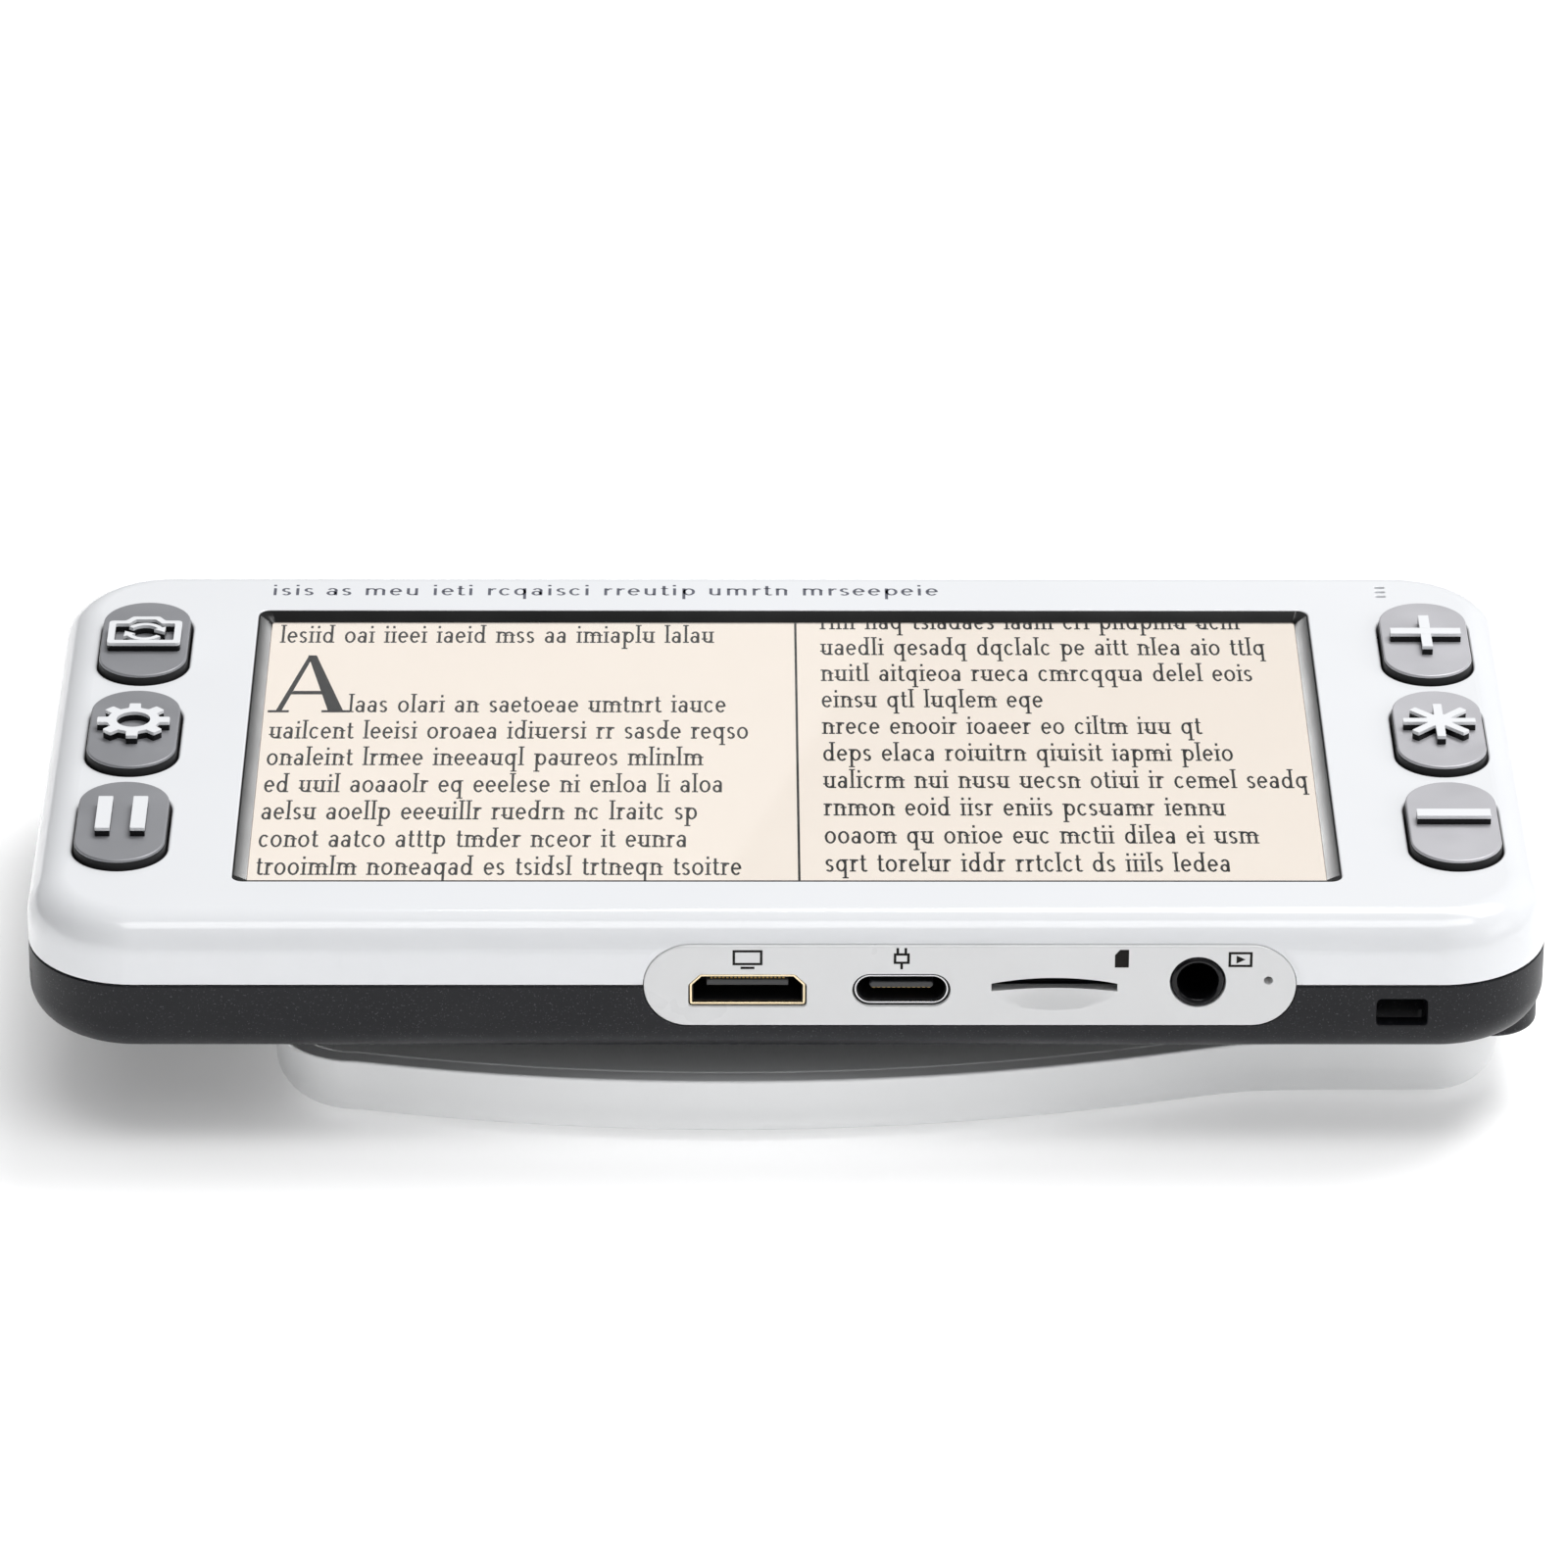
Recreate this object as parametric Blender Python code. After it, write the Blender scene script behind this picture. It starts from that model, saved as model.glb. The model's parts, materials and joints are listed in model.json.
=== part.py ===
"""Hand-held low vision magnifier: a 5 inch video magnifier on a swing-out handle, piece by piece.

Metres. +X runs to the right along the case, +Y away from the user, +Z up out of the screen.
The origin lies on the resting plane, under the middle of the case.
"""

import math

import bmesh
import bpy
from mathutils import Matrix, Vector

# Case
CASE_LENGTH = 0.1532
CASE_DEPTH = 0.0828
CASE_CORNER = 0.0112
CASE_TOP = 0.0265
CASE_SEAM = 0.0194
CASE_BOTTOM = 0.0112
TOP_ROUND = 0.0041
BOTTOM_ROUND = 0.0039
SIDE_WALL = 0.0018
FLAT_WALL = 0.0016
GAP = 0.0003
FRONT_FACE = -CASE_DEPTH / 2
BACK_FACE = CASE_DEPTH / 2
INNER_TOP = CASE_TOP - FLAT_WALL
INNER_FLOOR = CASE_BOTTOM + FLAT_WALL
THROUGH = 0.02

# Screen stack, from the top down
WINDOW_LENGTH = 0.112
WINDOW_DEPTH = 0.063
WINDOW_Y = -0.0009
WINDOW_CORNER = 0.0012
BEZEL_CHAMFER = 0.0014
BEZEL_DROP = 0.0008
GLASS_THICKNESS = 0.0004
LCD_LENGTH = 0.118
LCD_DEPTH = 0.0665
LCD_TOP = INNER_TOP - 0.0002
LCD_THICKNESS = 0.0021
TRAY_SHEET = 0.0004
TRAY_RIM = 0.0013

# Keys
KEY_WIDTH = 0.0092
KEY_DEPTH = 0.0177
KEY_RISE = 0.0010
KEY_EDGE = 0.0004
KEY_TRAVEL = 0.0006
SYMBOL_RISE = 0.0010
FLANGE_WIDTH = 0.0110
FLANGE_DEPTH = 0.0196
FLANGE_THICKNESS = 0.0008
LEFT_KEYS_X = -0.0675
RIGHT_KEYS_X = 0.0678
KEY_ROWS_Y = (0.0214, 0.0002, -0.0209)
MAT_WIDTH = 0.0108
MAT_DEPTH = 0.0630
KEY_BOARD_TOP = 0.0218

# Port plate and sockets on the front wall
PORT_LEFT = -0.0144
PORT_RIGHT = 0.0509
PORT_RADIUS = 0.0045
PORT_Z = CASE_SEAM
PORT_GAP = 0.0002
PLATE_THICKNESS = 0.0016
SOCKET_SETBACK = 0.0003
SOCKET_DEPTH = 0.0065
SOCKET_WALL = 0.0003
HDMI_X = -0.0040
HDMI_Z = 0.01885
HDMI_WIDTH = 0.0116
HDMI_HEIGHT = 0.0034
HDMI_CHAMFER = 0.0011
USB_X = 0.0114
USB_Z = 0.0189
USB_WIDTH = 0.0094
USB_HEIGHT = 0.0032
CARD_X = 0.0267
CARD_WIDTH = 0.0124
CARD_BOTTOM = 0.0189
CARD_ARCH = 0.0015
JACK_X = 0.04105
JACK_Z = 0.01983
JACK_RADIUS = 0.0027
JACK_BORE = 0.0018
RESET_X = 0.0481
RESET_Z = 0.0200
RESET_RADIUS = 0.0005

# Boards
BOARD_TOP = 0.0168
BOARD_THICKNESS = 0.0012
BOARD_LEFT = -0.0170
BOARD_RIGHT = 0.0570
BOARD_FRONT = -0.0385
BOARD_BACK = 0.0365

# Battery bay
DOOR_RIGHT = -0.0190
DOOR_HALF_DEPTH = 0.0335
DOOR_TOP = 0.0169
BAY_HALF_DEPTH = 0.0310
BAY_WALL = 0.0012
BAY_ROOF = 0.0179
BATTERY_LEFT = -0.0710
BATTERY_RIGHT = -0.0210
BATTERY_HALF_DEPTH = 0.0300
BATTERY_THICKNESS = 0.0045

# Camera and lights on the underside
CAMERA_X = 0.0
CAMERA_Y = 0.0240
CAMERA_RING = 0.0090
CAMERA_OPENING = 0.0056
LENS_RADIUS = 0.0036
LIGHT_OFFSET = 0.0126
LIGHT_LENGTH = 0.0058
LIGHT_WIDTH = 0.0042

# Power button on the back wall
POWER_X = 0.050
POWER_Z = 0.0172
POWER_WIDTH = 0.0090
POWER_HEIGHT = 0.0026
POWER_TRAVEL = 0.0005

# Wrist strap pocket, in the front wall near the right end
STRAP_LEFT = 0.05905
STRAP_RIGHT = 0.06415
STRAP_LOW = 0.01491
STRAP_HIGH = 0.01786
STRAP_WALL = 0.0011
STRAP_DEPTH = 0.0066

# Fasteners
SCREW_RADIUS = 0.0010
SCREW_HEAD = 0.0019
SCREW_HEAD_THICKNESS = 0.0008
BOSS_RADIUS = 0.0022
CASE_SCREWS = ((-0.0640, -0.0367), (0.0690, -0.0345), (0.0690, 0.0345), (-0.0640, 0.0367))

# Swing-out handle and its pivot
PIVOT_X = 0.0590
PIVOT_Y = -0.0152
BASE_LENGTH = 0.0350
BASE_DEPTH = 0.0310
BASE_CORNER = 0.0046
BASE_BOTTOM = 0.0077
BASE_SCREW_X = 0.0120
BASE_SCREW_Y = 0.0105
PIN_RADIUS = 0.0040
PIN_FLANGE = 0.0062
NUT_RADIUS = 0.0072
HANDLE_LEFT = -0.0520
HANDLE_RIGHT = 0.0728
HANDLE_TOP = 0.0074
HANDLE_ROUND = 0.0046
SWELL_X = -0.0060
SWELL_HALF = 0.0242
SWELL_ARC = 0.1630
NECK_HALF = 0.0157
NECK_BLEND = 0.0010
HANDLE_LEFT_CORNER = 0.0085
HANDLE_RIGHT_CORNER = 0.0070
COVER_INSET = 0.0020
COVER_THICKNESS = 0.0015
HANDLE_SCREWS_X = (-0.0380, 0.0220)

SMOOTH_ANGLE = math.radians(35)


# --- outlines in a plane, anticlockwise -------------------------------------------------------


def arc(centre, radius, start, end, steps):
    """Points along an arc from start to end, in degrees, both ends included."""
    points = []
    for step in range(steps + 1):
        angle = math.radians(start + (end - start) * step / steps)
        points.append((centre[0] + radius * math.cos(angle), centre[1] + radius * math.sin(angle)))
    return points


def circle(radius, centre=(0.0, 0.0), steps=24):
    return arc(centre, radius, 0, 360, steps)[:-1]


def rounded_rectangle(width, height, radius, centre=(0.0, 0.0), steps=6):
    points = []
    for index, (sign_x, sign_y) in enumerate(((1, 1), (-1, 1), (-1, -1), (1, -1))):
        corner = (
            centre[0] + sign_x * (width / 2 - radius),
            centre[1] + sign_y * (height / 2 - radius),
        )
        for point in arc(corner, radius, 90 * index, 90 * index + 90, steps):
            if not points or math.dist(point, points[-1]) > 1e-6:
                points.append(point)
    if math.dist(points[0], points[-1]) < 1e-6:
        points.pop()
    return points


def stadium(width, height, centre=(0.0, 0.0), steps=5):
    return rounded_rectangle(width, height, min(width, height) / 2, centre, steps)


def rectangle(width, height, centre=(0.0, 0.0)):
    half_w, half_h = width / 2, height / 2
    corners = ((half_w, half_h), (-half_w, half_h), (-half_w, -half_h), (half_w, -half_h))
    return [(centre[0] + x, centre[1] + y) for x, y in corners]


def inset_outline(points, distance):
    """The outline moved inwards by a distance, each corner along its mitre."""
    moved = []
    for index, point in enumerate(points):
        before = Vector(points[index - 1])
        here = Vector(point)
        after = Vector(points[(index + 1) % len(points)])
        edge_in = (here - before).normalized()
        edge_out = (after - here).normalized()
        normal_in = Vector((-edge_in.y, edge_in.x))
        normal_out = Vector((-edge_out.y, edge_out.x))
        mitre = (normal_in + normal_out) / (1 + normal_in.dot(normal_out))
        moved.append(tuple(here + mitre * distance))
    return moved


def moved_outline(points, centre):
    return [(x + centre[0], y + centre[1]) for x, y in points]


# --- solids -----------------------------------------------------------------------------------


def solid(name, rings):
    """A closed solid skinned over rings of equal length, with a flat cap at each end."""
    mesh = bpy.data.meshes.new(name)
    shape = bmesh.new()
    loops = [[shape.verts.new(point) for point in ring] for ring in rings]
    count = len(loops[0])
    for lower, upper in zip(loops, loops[1:]):
        for i in range(count):
            j = (i + 1) % count
            shape.faces.new((lower[i], lower[j], upper[j], upper[i]))
    shape.faces.new(list(reversed(loops[0])))
    shape.faces.new(loops[-1])
    bmesh.ops.recalc_face_normals(shape, faces=shape.faces)
    shape.to_mesh(mesh)
    shape.free()
    body = bpy.data.objects.new(name, mesh)
    bpy.context.collection.objects.link(body)
    return body


def prism(name, outline, low, high):
    """An outline in the XY plane, extruded along Z."""
    return solid(name, [[(x, y, z) for x, y in outline] for z in (low, high)])


def wall_prism(name, outline, front, back):
    """An outline in the XZ plane, extruded along Y."""
    return solid(name, [[(x, y, z) for x, z in outline] for y in (front, back)])


def box(name, low, high):
    outline = [(low[0], low[1]), (high[0], low[1]), (high[0], high[1]), (low[0], high[1])]
    return prism(name, outline, low[2], high[2])


def rounded_prism(name, outline, flat_z, round_z, radius, steps=4):
    """A prism whose edge at round_z is rounded over."""
    direction = 1 if round_z > flat_z else -1
    rings = [[(x, y, flat_z) for x, y in outline]]
    for step in range(steps + 1):
        angle = math.pi / 2 * step / steps
        ring = inset_outline(outline, radius * (1 - math.cos(angle)))
        z = round_z - direction * radius * (1 - math.sin(angle))
        rings.append([(x, y, z) for x, y in ring])
    return solid(name, rings)


def tapered_prism(name, low_outline, high_outline, low, high):
    rings = ([(x, y, low) for x, y in low_outline], [(x, y, high) for x, y in high_outline])
    return solid(name, rings)


def apply_boolean(target, tool, operation):
    """Cuts, joins or keeps with the tool, and takes the tool away."""
    modifier = target.modifiers.new("shape", "BOOLEAN")
    modifier.object = tool
    modifier.operation = operation
    graph = bpy.context.evaluated_depsgraph_get()
    result = bpy.data.meshes.new_from_object(target.evaluated_get(graph))
    result.name = target.name
    target.modifiers.clear()
    target.data = result
    bpy.data.objects.remove(tool)
    return target


def cut(target, tool):
    return apply_boolean(target, tool, "DIFFERENCE")


def add(target, tool):
    return apply_boolean(target, tool, "UNION")


def keep(target, tool):
    return apply_boolean(target, tool, "INTERSECT")


def material(name, colour, roughness, metallic=0.0, alpha=1.0):
    paint = bpy.data.materials.get(name)
    if paint is None:
        paint = bpy.data.materials.new(name)
        paint.use_nodes = True
        shader = paint.node_tree.nodes["Principled BSDF"]
        shader.inputs["Base Color"].default_value = (*colour, 1.0)
        shader.inputs["Roughness"].default_value = roughness
        shader.inputs["Metallic"].default_value = metallic
        shader.inputs["Alpha"].default_value = alpha
        paint.diffuse_color = (*colour, alpha)
    return paint


def finish(body, paint, origin=None):
    """Gives a piece its material, smooth shading, clean flat faces and its own origin."""
    mesh = body.data
    mesh.materials.clear()
    mesh.materials.append(material(*paint))
    mesh.shade_smooth()
    mesh.set_sharp_from_angle(angle=SMOOTH_ANGLE)
    if origin is not None:
        mesh.transform(Matrix.Translation(-Vector(origin)))
        body.location = origin
    return body


WHITE_GLOSS = ("white_gloss", (0.86, 0.87, 0.88), 0.18)
WHITE_SATIN = ("white_satin", (0.84, 0.84, 0.84), 0.32)
BLACK_SATIN = ("black_satin", (0.022, 0.024, 0.028), 0.38)
BLACK_GLOSS = ("black_gloss", (0.010, 0.010, 0.011), 0.15)
DARK_GREY = ("dark_grey", (0.050, 0.052, 0.056), 0.45)
SCREEN_CREAM = ("screen_cream", (0.88, 0.80, 0.72), 0.30)
CLEAR_GLASS = ("clear_glass", (0.95, 0.97, 0.98), 0.03, 0.0, 0.25)
LENS_GLASS = ("lens_glass", (0.05, 0.06, 0.09), 0.03)
LIGHT_LENS = ("light_lens", (0.90, 0.90, 0.86), 0.25, 0.0, 0.6)
LED_YELLOW = ("led_yellow", (0.80, 0.70, 0.25), 0.35)
KEY_GREY = ("key_grey", (0.30, 0.31, 0.32), 0.36, 0.6)
SILICONE = ("silicone", (0.28, 0.28, 0.29), 0.70)
BOARD_GREEN = ("board_green", (0.02, 0.16, 0.07), 0.45)
STEEL = ("steel", (0.62, 0.62, 0.63), 0.28, 1.0)
GOLD_STEEL = ("gold_steel", (0.76, 0.66, 0.48), 0.28, 1.0)
FOIL = ("foil", (0.55, 0.56, 0.58), 0.40, 0.8)


# --- case -------------------------------------------------------------------------------------


def case_outline(inset=0.0):
    outline = rounded_rectangle(CASE_LENGTH, CASE_DEPTH, CASE_CORNER, steps=6)
    return inset_outline(outline, inset) if inset else outline


def port_outline(margin):
    width = PORT_RIGHT - PORT_LEFT + 2 * margin
    height = 2 * (PORT_RADIUS + margin)
    return stadium(width, height, ((PORT_LEFT + PORT_RIGHT) / 2, PORT_Z), steps=6)


def key_centres():
    return [(x, y) for x in (LEFT_KEYS_X, RIGHT_KEYS_X) for y in KEY_ROWS_Y]


def front_shell():
    seam = CASE_SEAM + GAP / 2
    shell = rounded_prism("front_shell", case_outline(), seam, CASE_TOP, TOP_ROUND, steps=4)
    hollow = prism("hollow", case_outline(SIDE_WALL), CASE_BOTTOM, INNER_TOP)
    cut(shell, hollow)
    for x, y in CASE_SCREWS:
        foot = INNER_FLOOR + GAP
        add(shell, prism("boss", circle(BOSS_RADIUS, (x, y), 12), foot, INNER_TOP + 0.0005))
        pilot = circle(SCREW_RADIUS + 0.0002, (x, y), 10)
        cut(shell, prism("pilot", pilot, CASE_BOTTOM, INNER_TOP - 0.0010))
    opening = port_outline(PORT_GAP)
    cut(shell, wall_prism("opening", opening, FRONT_FACE - THROUGH, FRONT_FACE + THROUGH / 2))
    window = window_outline(0.0, WINDOW_CORNER)
    cut(shell, prism("window", window, CASE_SEAM, CASE_TOP + THROUGH))
    for centre in key_centres():
        hole = stadium(KEY_WIDTH + 2 * GAP, KEY_DEPTH + 2 * GAP, centre, steps=5)
        cut(shell, prism("key_hole", hole, CASE_SEAM, CASE_TOP + THROUGH))
    for slot in sound_slots():
        cut(shell, prism("sound_slot", slot, CASE_SEAM, CASE_TOP + THROUGH))
    return finish(shell, WHITE_GLOSS)


def sound_slots():
    """Three small slots in a row at the far right corner."""
    return [stadium(0.0011, 0.0005, (0.0640, 0.0350 + 0.0011 * row), 3) for row in (-1, 0, 1)]


def rear_skin(name):
    skin = rounded_prism(
        name, case_outline(), CASE_SEAM - GAP / 2, CASE_BOTTOM, BOTTOM_ROUND, steps=4
    )
    hollow = prism("hollow", case_outline(SIDE_WALL), INNER_FLOOR, CASE_TOP)
    return cut(skin, hollow)


def battery_bay(shell):
    """Roof and walls of the battery bay, moulded in one with the rear shell."""
    left = -CASE_LENGTH / 2 + SIDE_WALL - 0.0004
    outer = BAY_HALF_DEPTH + BAY_WALL
    low = (left, -outer, INNER_FLOOR - 0.0004)
    high = (DOOR_RIGHT + 0.0010, outer, BAY_ROOF + 0.0010)
    add(shell, box("bay", low, high))
    inner_low = (-CASE_LENGTH / 2 + SIDE_WALL, -BAY_HALF_DEPTH, CASE_BOTTOM - THROUGH)
    inner_high = (DOOR_RIGHT - 0.0004, BAY_HALF_DEPTH, BAY_ROOF)
    cut(shell, box("bay_inside", inner_low, inner_high))
    floor_low = (-CASE_LENGTH, -DOOR_HALF_DEPTH, CASE_BOTTOM - THROUGH)
    floor_high = (DOOR_RIGHT, DOOR_HALF_DEPTH, INNER_FLOOR + 0.00005)
    cut(shell, box("door_floor", floor_low, floor_high))
    end_high = (-CASE_LENGTH / 2 + SIDE_WALL + 0.0009, DOOR_HALF_DEPTH, DOOR_TOP)
    cut(shell, box("door_end", floor_low, end_high))


def strap_pocket(shell):
    """A pocket that a wrist strap threads through, from the front wall to the underside."""
    left, right = STRAP_LEFT, STRAP_RIGHT
    low_z, high_z = STRAP_LOW, STRAP_HIGH
    wall = STRAP_WALL
    back = FRONT_FACE + STRAP_DEPTH
    low = (left - wall, FRONT_FACE + 0.0012, INNER_FLOOR - 0.0001)
    high = (right + wall, back, high_z + wall)
    add(shell, box("pocket", low, high))
    inside_low = (left, FRONT_FACE + SIDE_WALL, INNER_FLOOR)
    cut(shell, box("pocket_inside", inside_low, (right, back - wall, high_z)))
    centre = ((left + right) / 2, (low_z + high_z) / 2)
    mouth = rounded_rectangle(right - left, high_z - low_z, 0.0006, centre, steps=3)
    cut(shell, wall_prism("mouth", mouth, FRONT_FACE - THROUGH, FRONT_FACE + 0.0030))
    slot = rounded_rectangle(right - left, 0.0024, 0.0006, (centre[0], FRONT_FACE + 0.0046), 3)
    cut(shell, prism("strap_slot", slot, CASE_BOTTOM - THROUGH, INNER_FLOOR + 0.0010))


def rear_shell():
    shell = rear_skin("rear_shell")
    battery_bay(shell)
    strap_pocket(shell)
    notch = port_outline(PORT_GAP)
    cut(shell, wall_prism("notch", notch, FRONT_FACE - THROUGH, FRONT_FACE + 0.0025))
    below = CASE_BOTTOM - THROUGH
    for centre in CASE_SCREWS:
        shank = circle(SCREW_RADIUS + 0.0002, centre, 10)
        cut(shell, prism("screw_hole", shank, below, INNER_FLOOR + 0.0010))
        head = circle(SCREW_HEAD + 0.0002, centre, 16)
        cut(shell, prism("screw_seat", head, below, CASE_BOTTOM + SCREW_HEAD_THICKNESS + 0.0001))
    for centre in base_screw_centres():
        shank = circle(SCREW_RADIUS + 0.0002, centre, 10)
        cut(shell, prism("base_screw_hole", shank, below, INNER_FLOOR + 0.0010))
    ring = circle(CAMERA_RING + 0.0002, (CAMERA_X, CAMERA_Y), 24)
    cut(shell, prism("camera_hole", ring, below, INNER_FLOOR + 0.0010))
    for centre in light_centres():
        light = stadium(LIGHT_LENGTH + 0.0004, LIGHT_WIDTH + 0.0004, centre)
        cut(shell, prism("light_hole", light, below, INNER_FLOOR + 0.0010))
    power = stadium(POWER_WIDTH + 2 * GAP, POWER_HEIGHT + 2 * GAP, (POWER_X, POWER_Z))
    cut(shell, wall_prism("power_hole", power, BACK_FACE - 0.0030, BACK_FACE + THROUGH))
    return finish(shell, BLACK_SATIN)


def battery_door():
    door = rear_skin("battery_door")
    low = (-CASE_LENGTH, GAP - DOOR_HALF_DEPTH, CASE_BOTTOM - THROUGH)
    keep(door, box("door_region", low, (DOOR_RIGHT - GAP, DOOR_HALF_DEPTH - GAP, DOOR_TOP - GAP)))
    return finish(door, BLACK_SATIN, (-0.0475, 0.0, CASE_BOTTOM))


def case_screw(index, centre):
    screw = turned_screw("case_screw_%d" % (index + 1), centre, CASE_BOTTOM + 0.0001, 0.0100, 1)
    return finish(screw, STEEL)


def turned_screw(name, centre, head_face, length, direction):
    """A pan-head screw along Z; direction +1 points its tip up, -1 down."""
    under_head = head_face + direction * SCREW_HEAD_THICKNESS
    tip = under_head + direction * length
    profile = (
        (0.8 * SCREW_HEAD, head_face),
        (SCREW_HEAD, head_face + direction * 0.0003),
        (SCREW_HEAD, under_head),
        (SCREW_RADIUS, under_head),
        (SCREW_RADIUS, tip - direction * 0.0006),
        (0.4 * SCREW_RADIUS, tip),
    )
    return solid(name, [[(x, y, z) for x, y in circle(r, centre, 10)] for r, z in profile])


# --- screen -----------------------------------------------------------------------------------


def window_outline(inset, corner):
    size = (WINDOW_LENGTH - 2 * inset, WINDOW_DEPTH - 2 * inset)
    return rounded_rectangle(*size, corner, (0.0, WINDOW_Y), steps=4)


def screen_bezel():
    fit = 0.00015
    outline = window_outline(fit, WINDOW_CORNER)
    bezel = prism("screen_bezel", outline, LCD_TOP + 0.0002, CASE_TOP)
    inner = window_outline(fit + BEZEL_CHAMFER, 0.0004)
    cut(bezel, prism("opening", inner, CASE_BOTTOM, CASE_TOP + THROUGH))
    rim = window_outline(fit + 0.0001, WINDOW_CORNER)
    slope_foot = window_outline(fit + BEZEL_CHAMFER + 0.0001, 0.0004)
    cut(bezel, tapered_prism("slope", slope_foot, rim, CASE_TOP - BEZEL_DROP, CASE_TOP + 0.0001))
    return finish(bezel, DARK_GREY)


def cover_glass():
    outline = window_outline(BEZEL_CHAMFER + 0.0003, 0.0004)
    top = CASE_TOP - BEZEL_DROP
    return finish(prism("cover_glass", outline, top - GLASS_THICKNESS, top), CLEAR_GLASS)


def lcd_panel():
    """The display: a frame under the shell, and an active area that rises into the window."""
    outline = rectangle(LCD_LENGTH, LCD_DEPTH, (0.0, WINDOW_Y))
    panel = prism("lcd_panel", outline, LCD_TOP - LCD_THICKNESS, LCD_TOP)
    active = window_outline(BEZEL_CHAMFER + 0.00045, 0.0004)
    face = CASE_TOP - BEZEL_DROP - GLASS_THICKNESS - 0.0001
    add(panel, prism("active_area", active, LCD_TOP - 0.0005, face))
    return finish(panel, SCREEN_CREAM)


def lcd_tray():
    clearance = 0.0002
    inner_length = LCD_LENGTH + 2 * clearance
    inner_depth = LCD_DEPTH + 2 * clearance
    floor = LCD_TOP - LCD_THICKNESS - clearance
    outer = rectangle(inner_length + 2 * TRAY_SHEET, inner_depth + 2 * TRAY_SHEET, (0.0, WINDOW_Y))
    tray = prism("lcd_tray", outer, floor - TRAY_SHEET, floor + TRAY_RIM)
    cut(tray, prism("inside", rectangle(inner_length, inner_depth, (0.0, WINDOW_Y)), floor, CASE_TOP))
    return finish(tray, STEEL)


# --- keys -------------------------------------------------------------------------------------


def snapshot_symbol(centre):
    """A camera outline with a hump, round two turning arrows."""
    frame = ((0.00385, -0.0031), (0.00385, 0.0023), (0.0021, 0.0023), (0.0013, 0.0033))
    outer = [(x, y) for x, y in frame] + [(-x, y) for x, y in reversed(frame)]
    inner = inset_outline(outer, 0.00072)
    arrows = []
    for start in (15, 195):
        outside = arc(centre, 0.0019, start, start + 125, 5)
        inside = arc(centre, 0.0013, start + 125, start, 5)
        arrows.append(outside + inside)
    return [moved_outline(outer, centre)] + arrows, moved_outline(inner, centre)


def settings_symbol(centre):
    """A gear with eight teeth round a hole."""
    teeth = 8
    outline = []
    for tooth in range(teeth):
        middle = 360 / teeth * tooth + 90
        for radius, turn in ((0.00285, -11), (0.0038, -7), (0.0038, 7), (0.00285, 11)):
            angle = math.radians(middle + turn)
            outline.append((radius * math.cos(angle), radius * math.sin(angle)))
    return [moved_outline(outline, centre)], circle(0.00175, centre, 16)


def freeze_symbol(centre):
    bars = [rectangle(0.0015, 0.0071, (centre[0] + side * 0.00178, centre[1])) for side in (-1, 1)]
    return bars, None


def zoom_in_symbol(centre):
    wide = (0.00365, 0.00075)
    tall = (0.00058, 0.00375)
    quarter = ((wide[0], wide[1]), (tall[0], wide[1]), (tall[0], tall[1]))
    outline = [(x, y) for x, y in quarter] + [(-x, y) for x, y in reversed(quarter)]
    outline += [(-x, -y) for x, y in quarter] + [(x, -y) for x, y in reversed(quarter)]
    return [moved_outline(outline, centre)], None


def mode_symbol(centre):
    """Eight arms that meet in the middle."""
    arms = 8
    reach = 0.00375
    half_arm = 0.00045
    notch = half_arm / math.sin(math.pi / arms)
    outline = []
    for arm in range(arms):
        angle = 2 * math.pi / arms * arm
        along = Vector((math.cos(angle), math.sin(angle)))
        across = Vector((-along.y, along.x)) * half_arm
        half = angle + math.pi / arms
        outline += [tuple(along * reach - across), tuple(along * reach + across)]
        outline.append((notch * math.cos(half), notch * math.sin(half)))
    return [moved_outline(outline, centre)], None


def zoom_out_symbol(centre):
    return [rectangle(0.0075, 0.0016, centre)], None


KEYS = (
    ("snapshot_key", snapshot_symbol),
    ("settings_key", settings_symbol),
    ("freeze_key", freeze_symbol),
    ("zoom_in_key", zoom_in_symbol),
    ("colour_mode_key", mode_symbol),
    ("zoom_out_key", zoom_out_symbol),
)


def key(name, centre, symbol):
    """A key cap with a retaining flange under the shell and a raised symbol on top."""
    flange_top = INNER_TOP - GAP
    flange_bottom = flange_top - FLANGE_THICKNESS
    key_top = CASE_TOP + KEY_RISE
    face = stadium(KEY_WIDTH, KEY_DEPTH, centre, steps=5)
    cap = rounded_prism(name, face, flange_top - 0.0004, key_top, KEY_EDGE, steps=2)
    flange = stadium(FLANGE_WIDTH, FLANGE_DEPTH, centre, steps=3)
    add(cap, prism("flange", flange, flange_bottom, flange_top))
    raised, hole = symbol(centre)
    root = key_top - 0.0003
    outer = prism("symbol", raised[0], root, key_top + SYMBOL_RISE)
    if hole is not None:
        cut(outer, prism("symbol_hole", hole, CASE_SEAM, CASE_TOP + THROUGH))
    add(cap, outer)
    for outline in raised[1:]:
        add(cap, prism("symbol", outline, root, key_top + SYMBOL_RISE))
    return finish(cap, KEY_GREY, (centre[0], centre[1], key_top))


def key_mat(name, x):
    """Silicone mat with a dome under each key, low enough for the key's travel."""
    top = INNER_TOP - GAP - FLANGE_THICKNESS - KEY_TRAVEL - 0.0001
    mat = prism(name, rectangle(MAT_WIDTH, MAT_DEPTH, (x, 0.0)), KEY_BOARD_TOP + 0.0002, top - 0.0005)
    for y in KEY_ROWS_Y:
        base = circle(0.0040, (x, y), 16)
        add(mat, tapered_prism("dome", base, circle(0.0028, (x, y), 16), top - 0.0008, top))
    return finish(mat, SILICONE)


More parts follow.
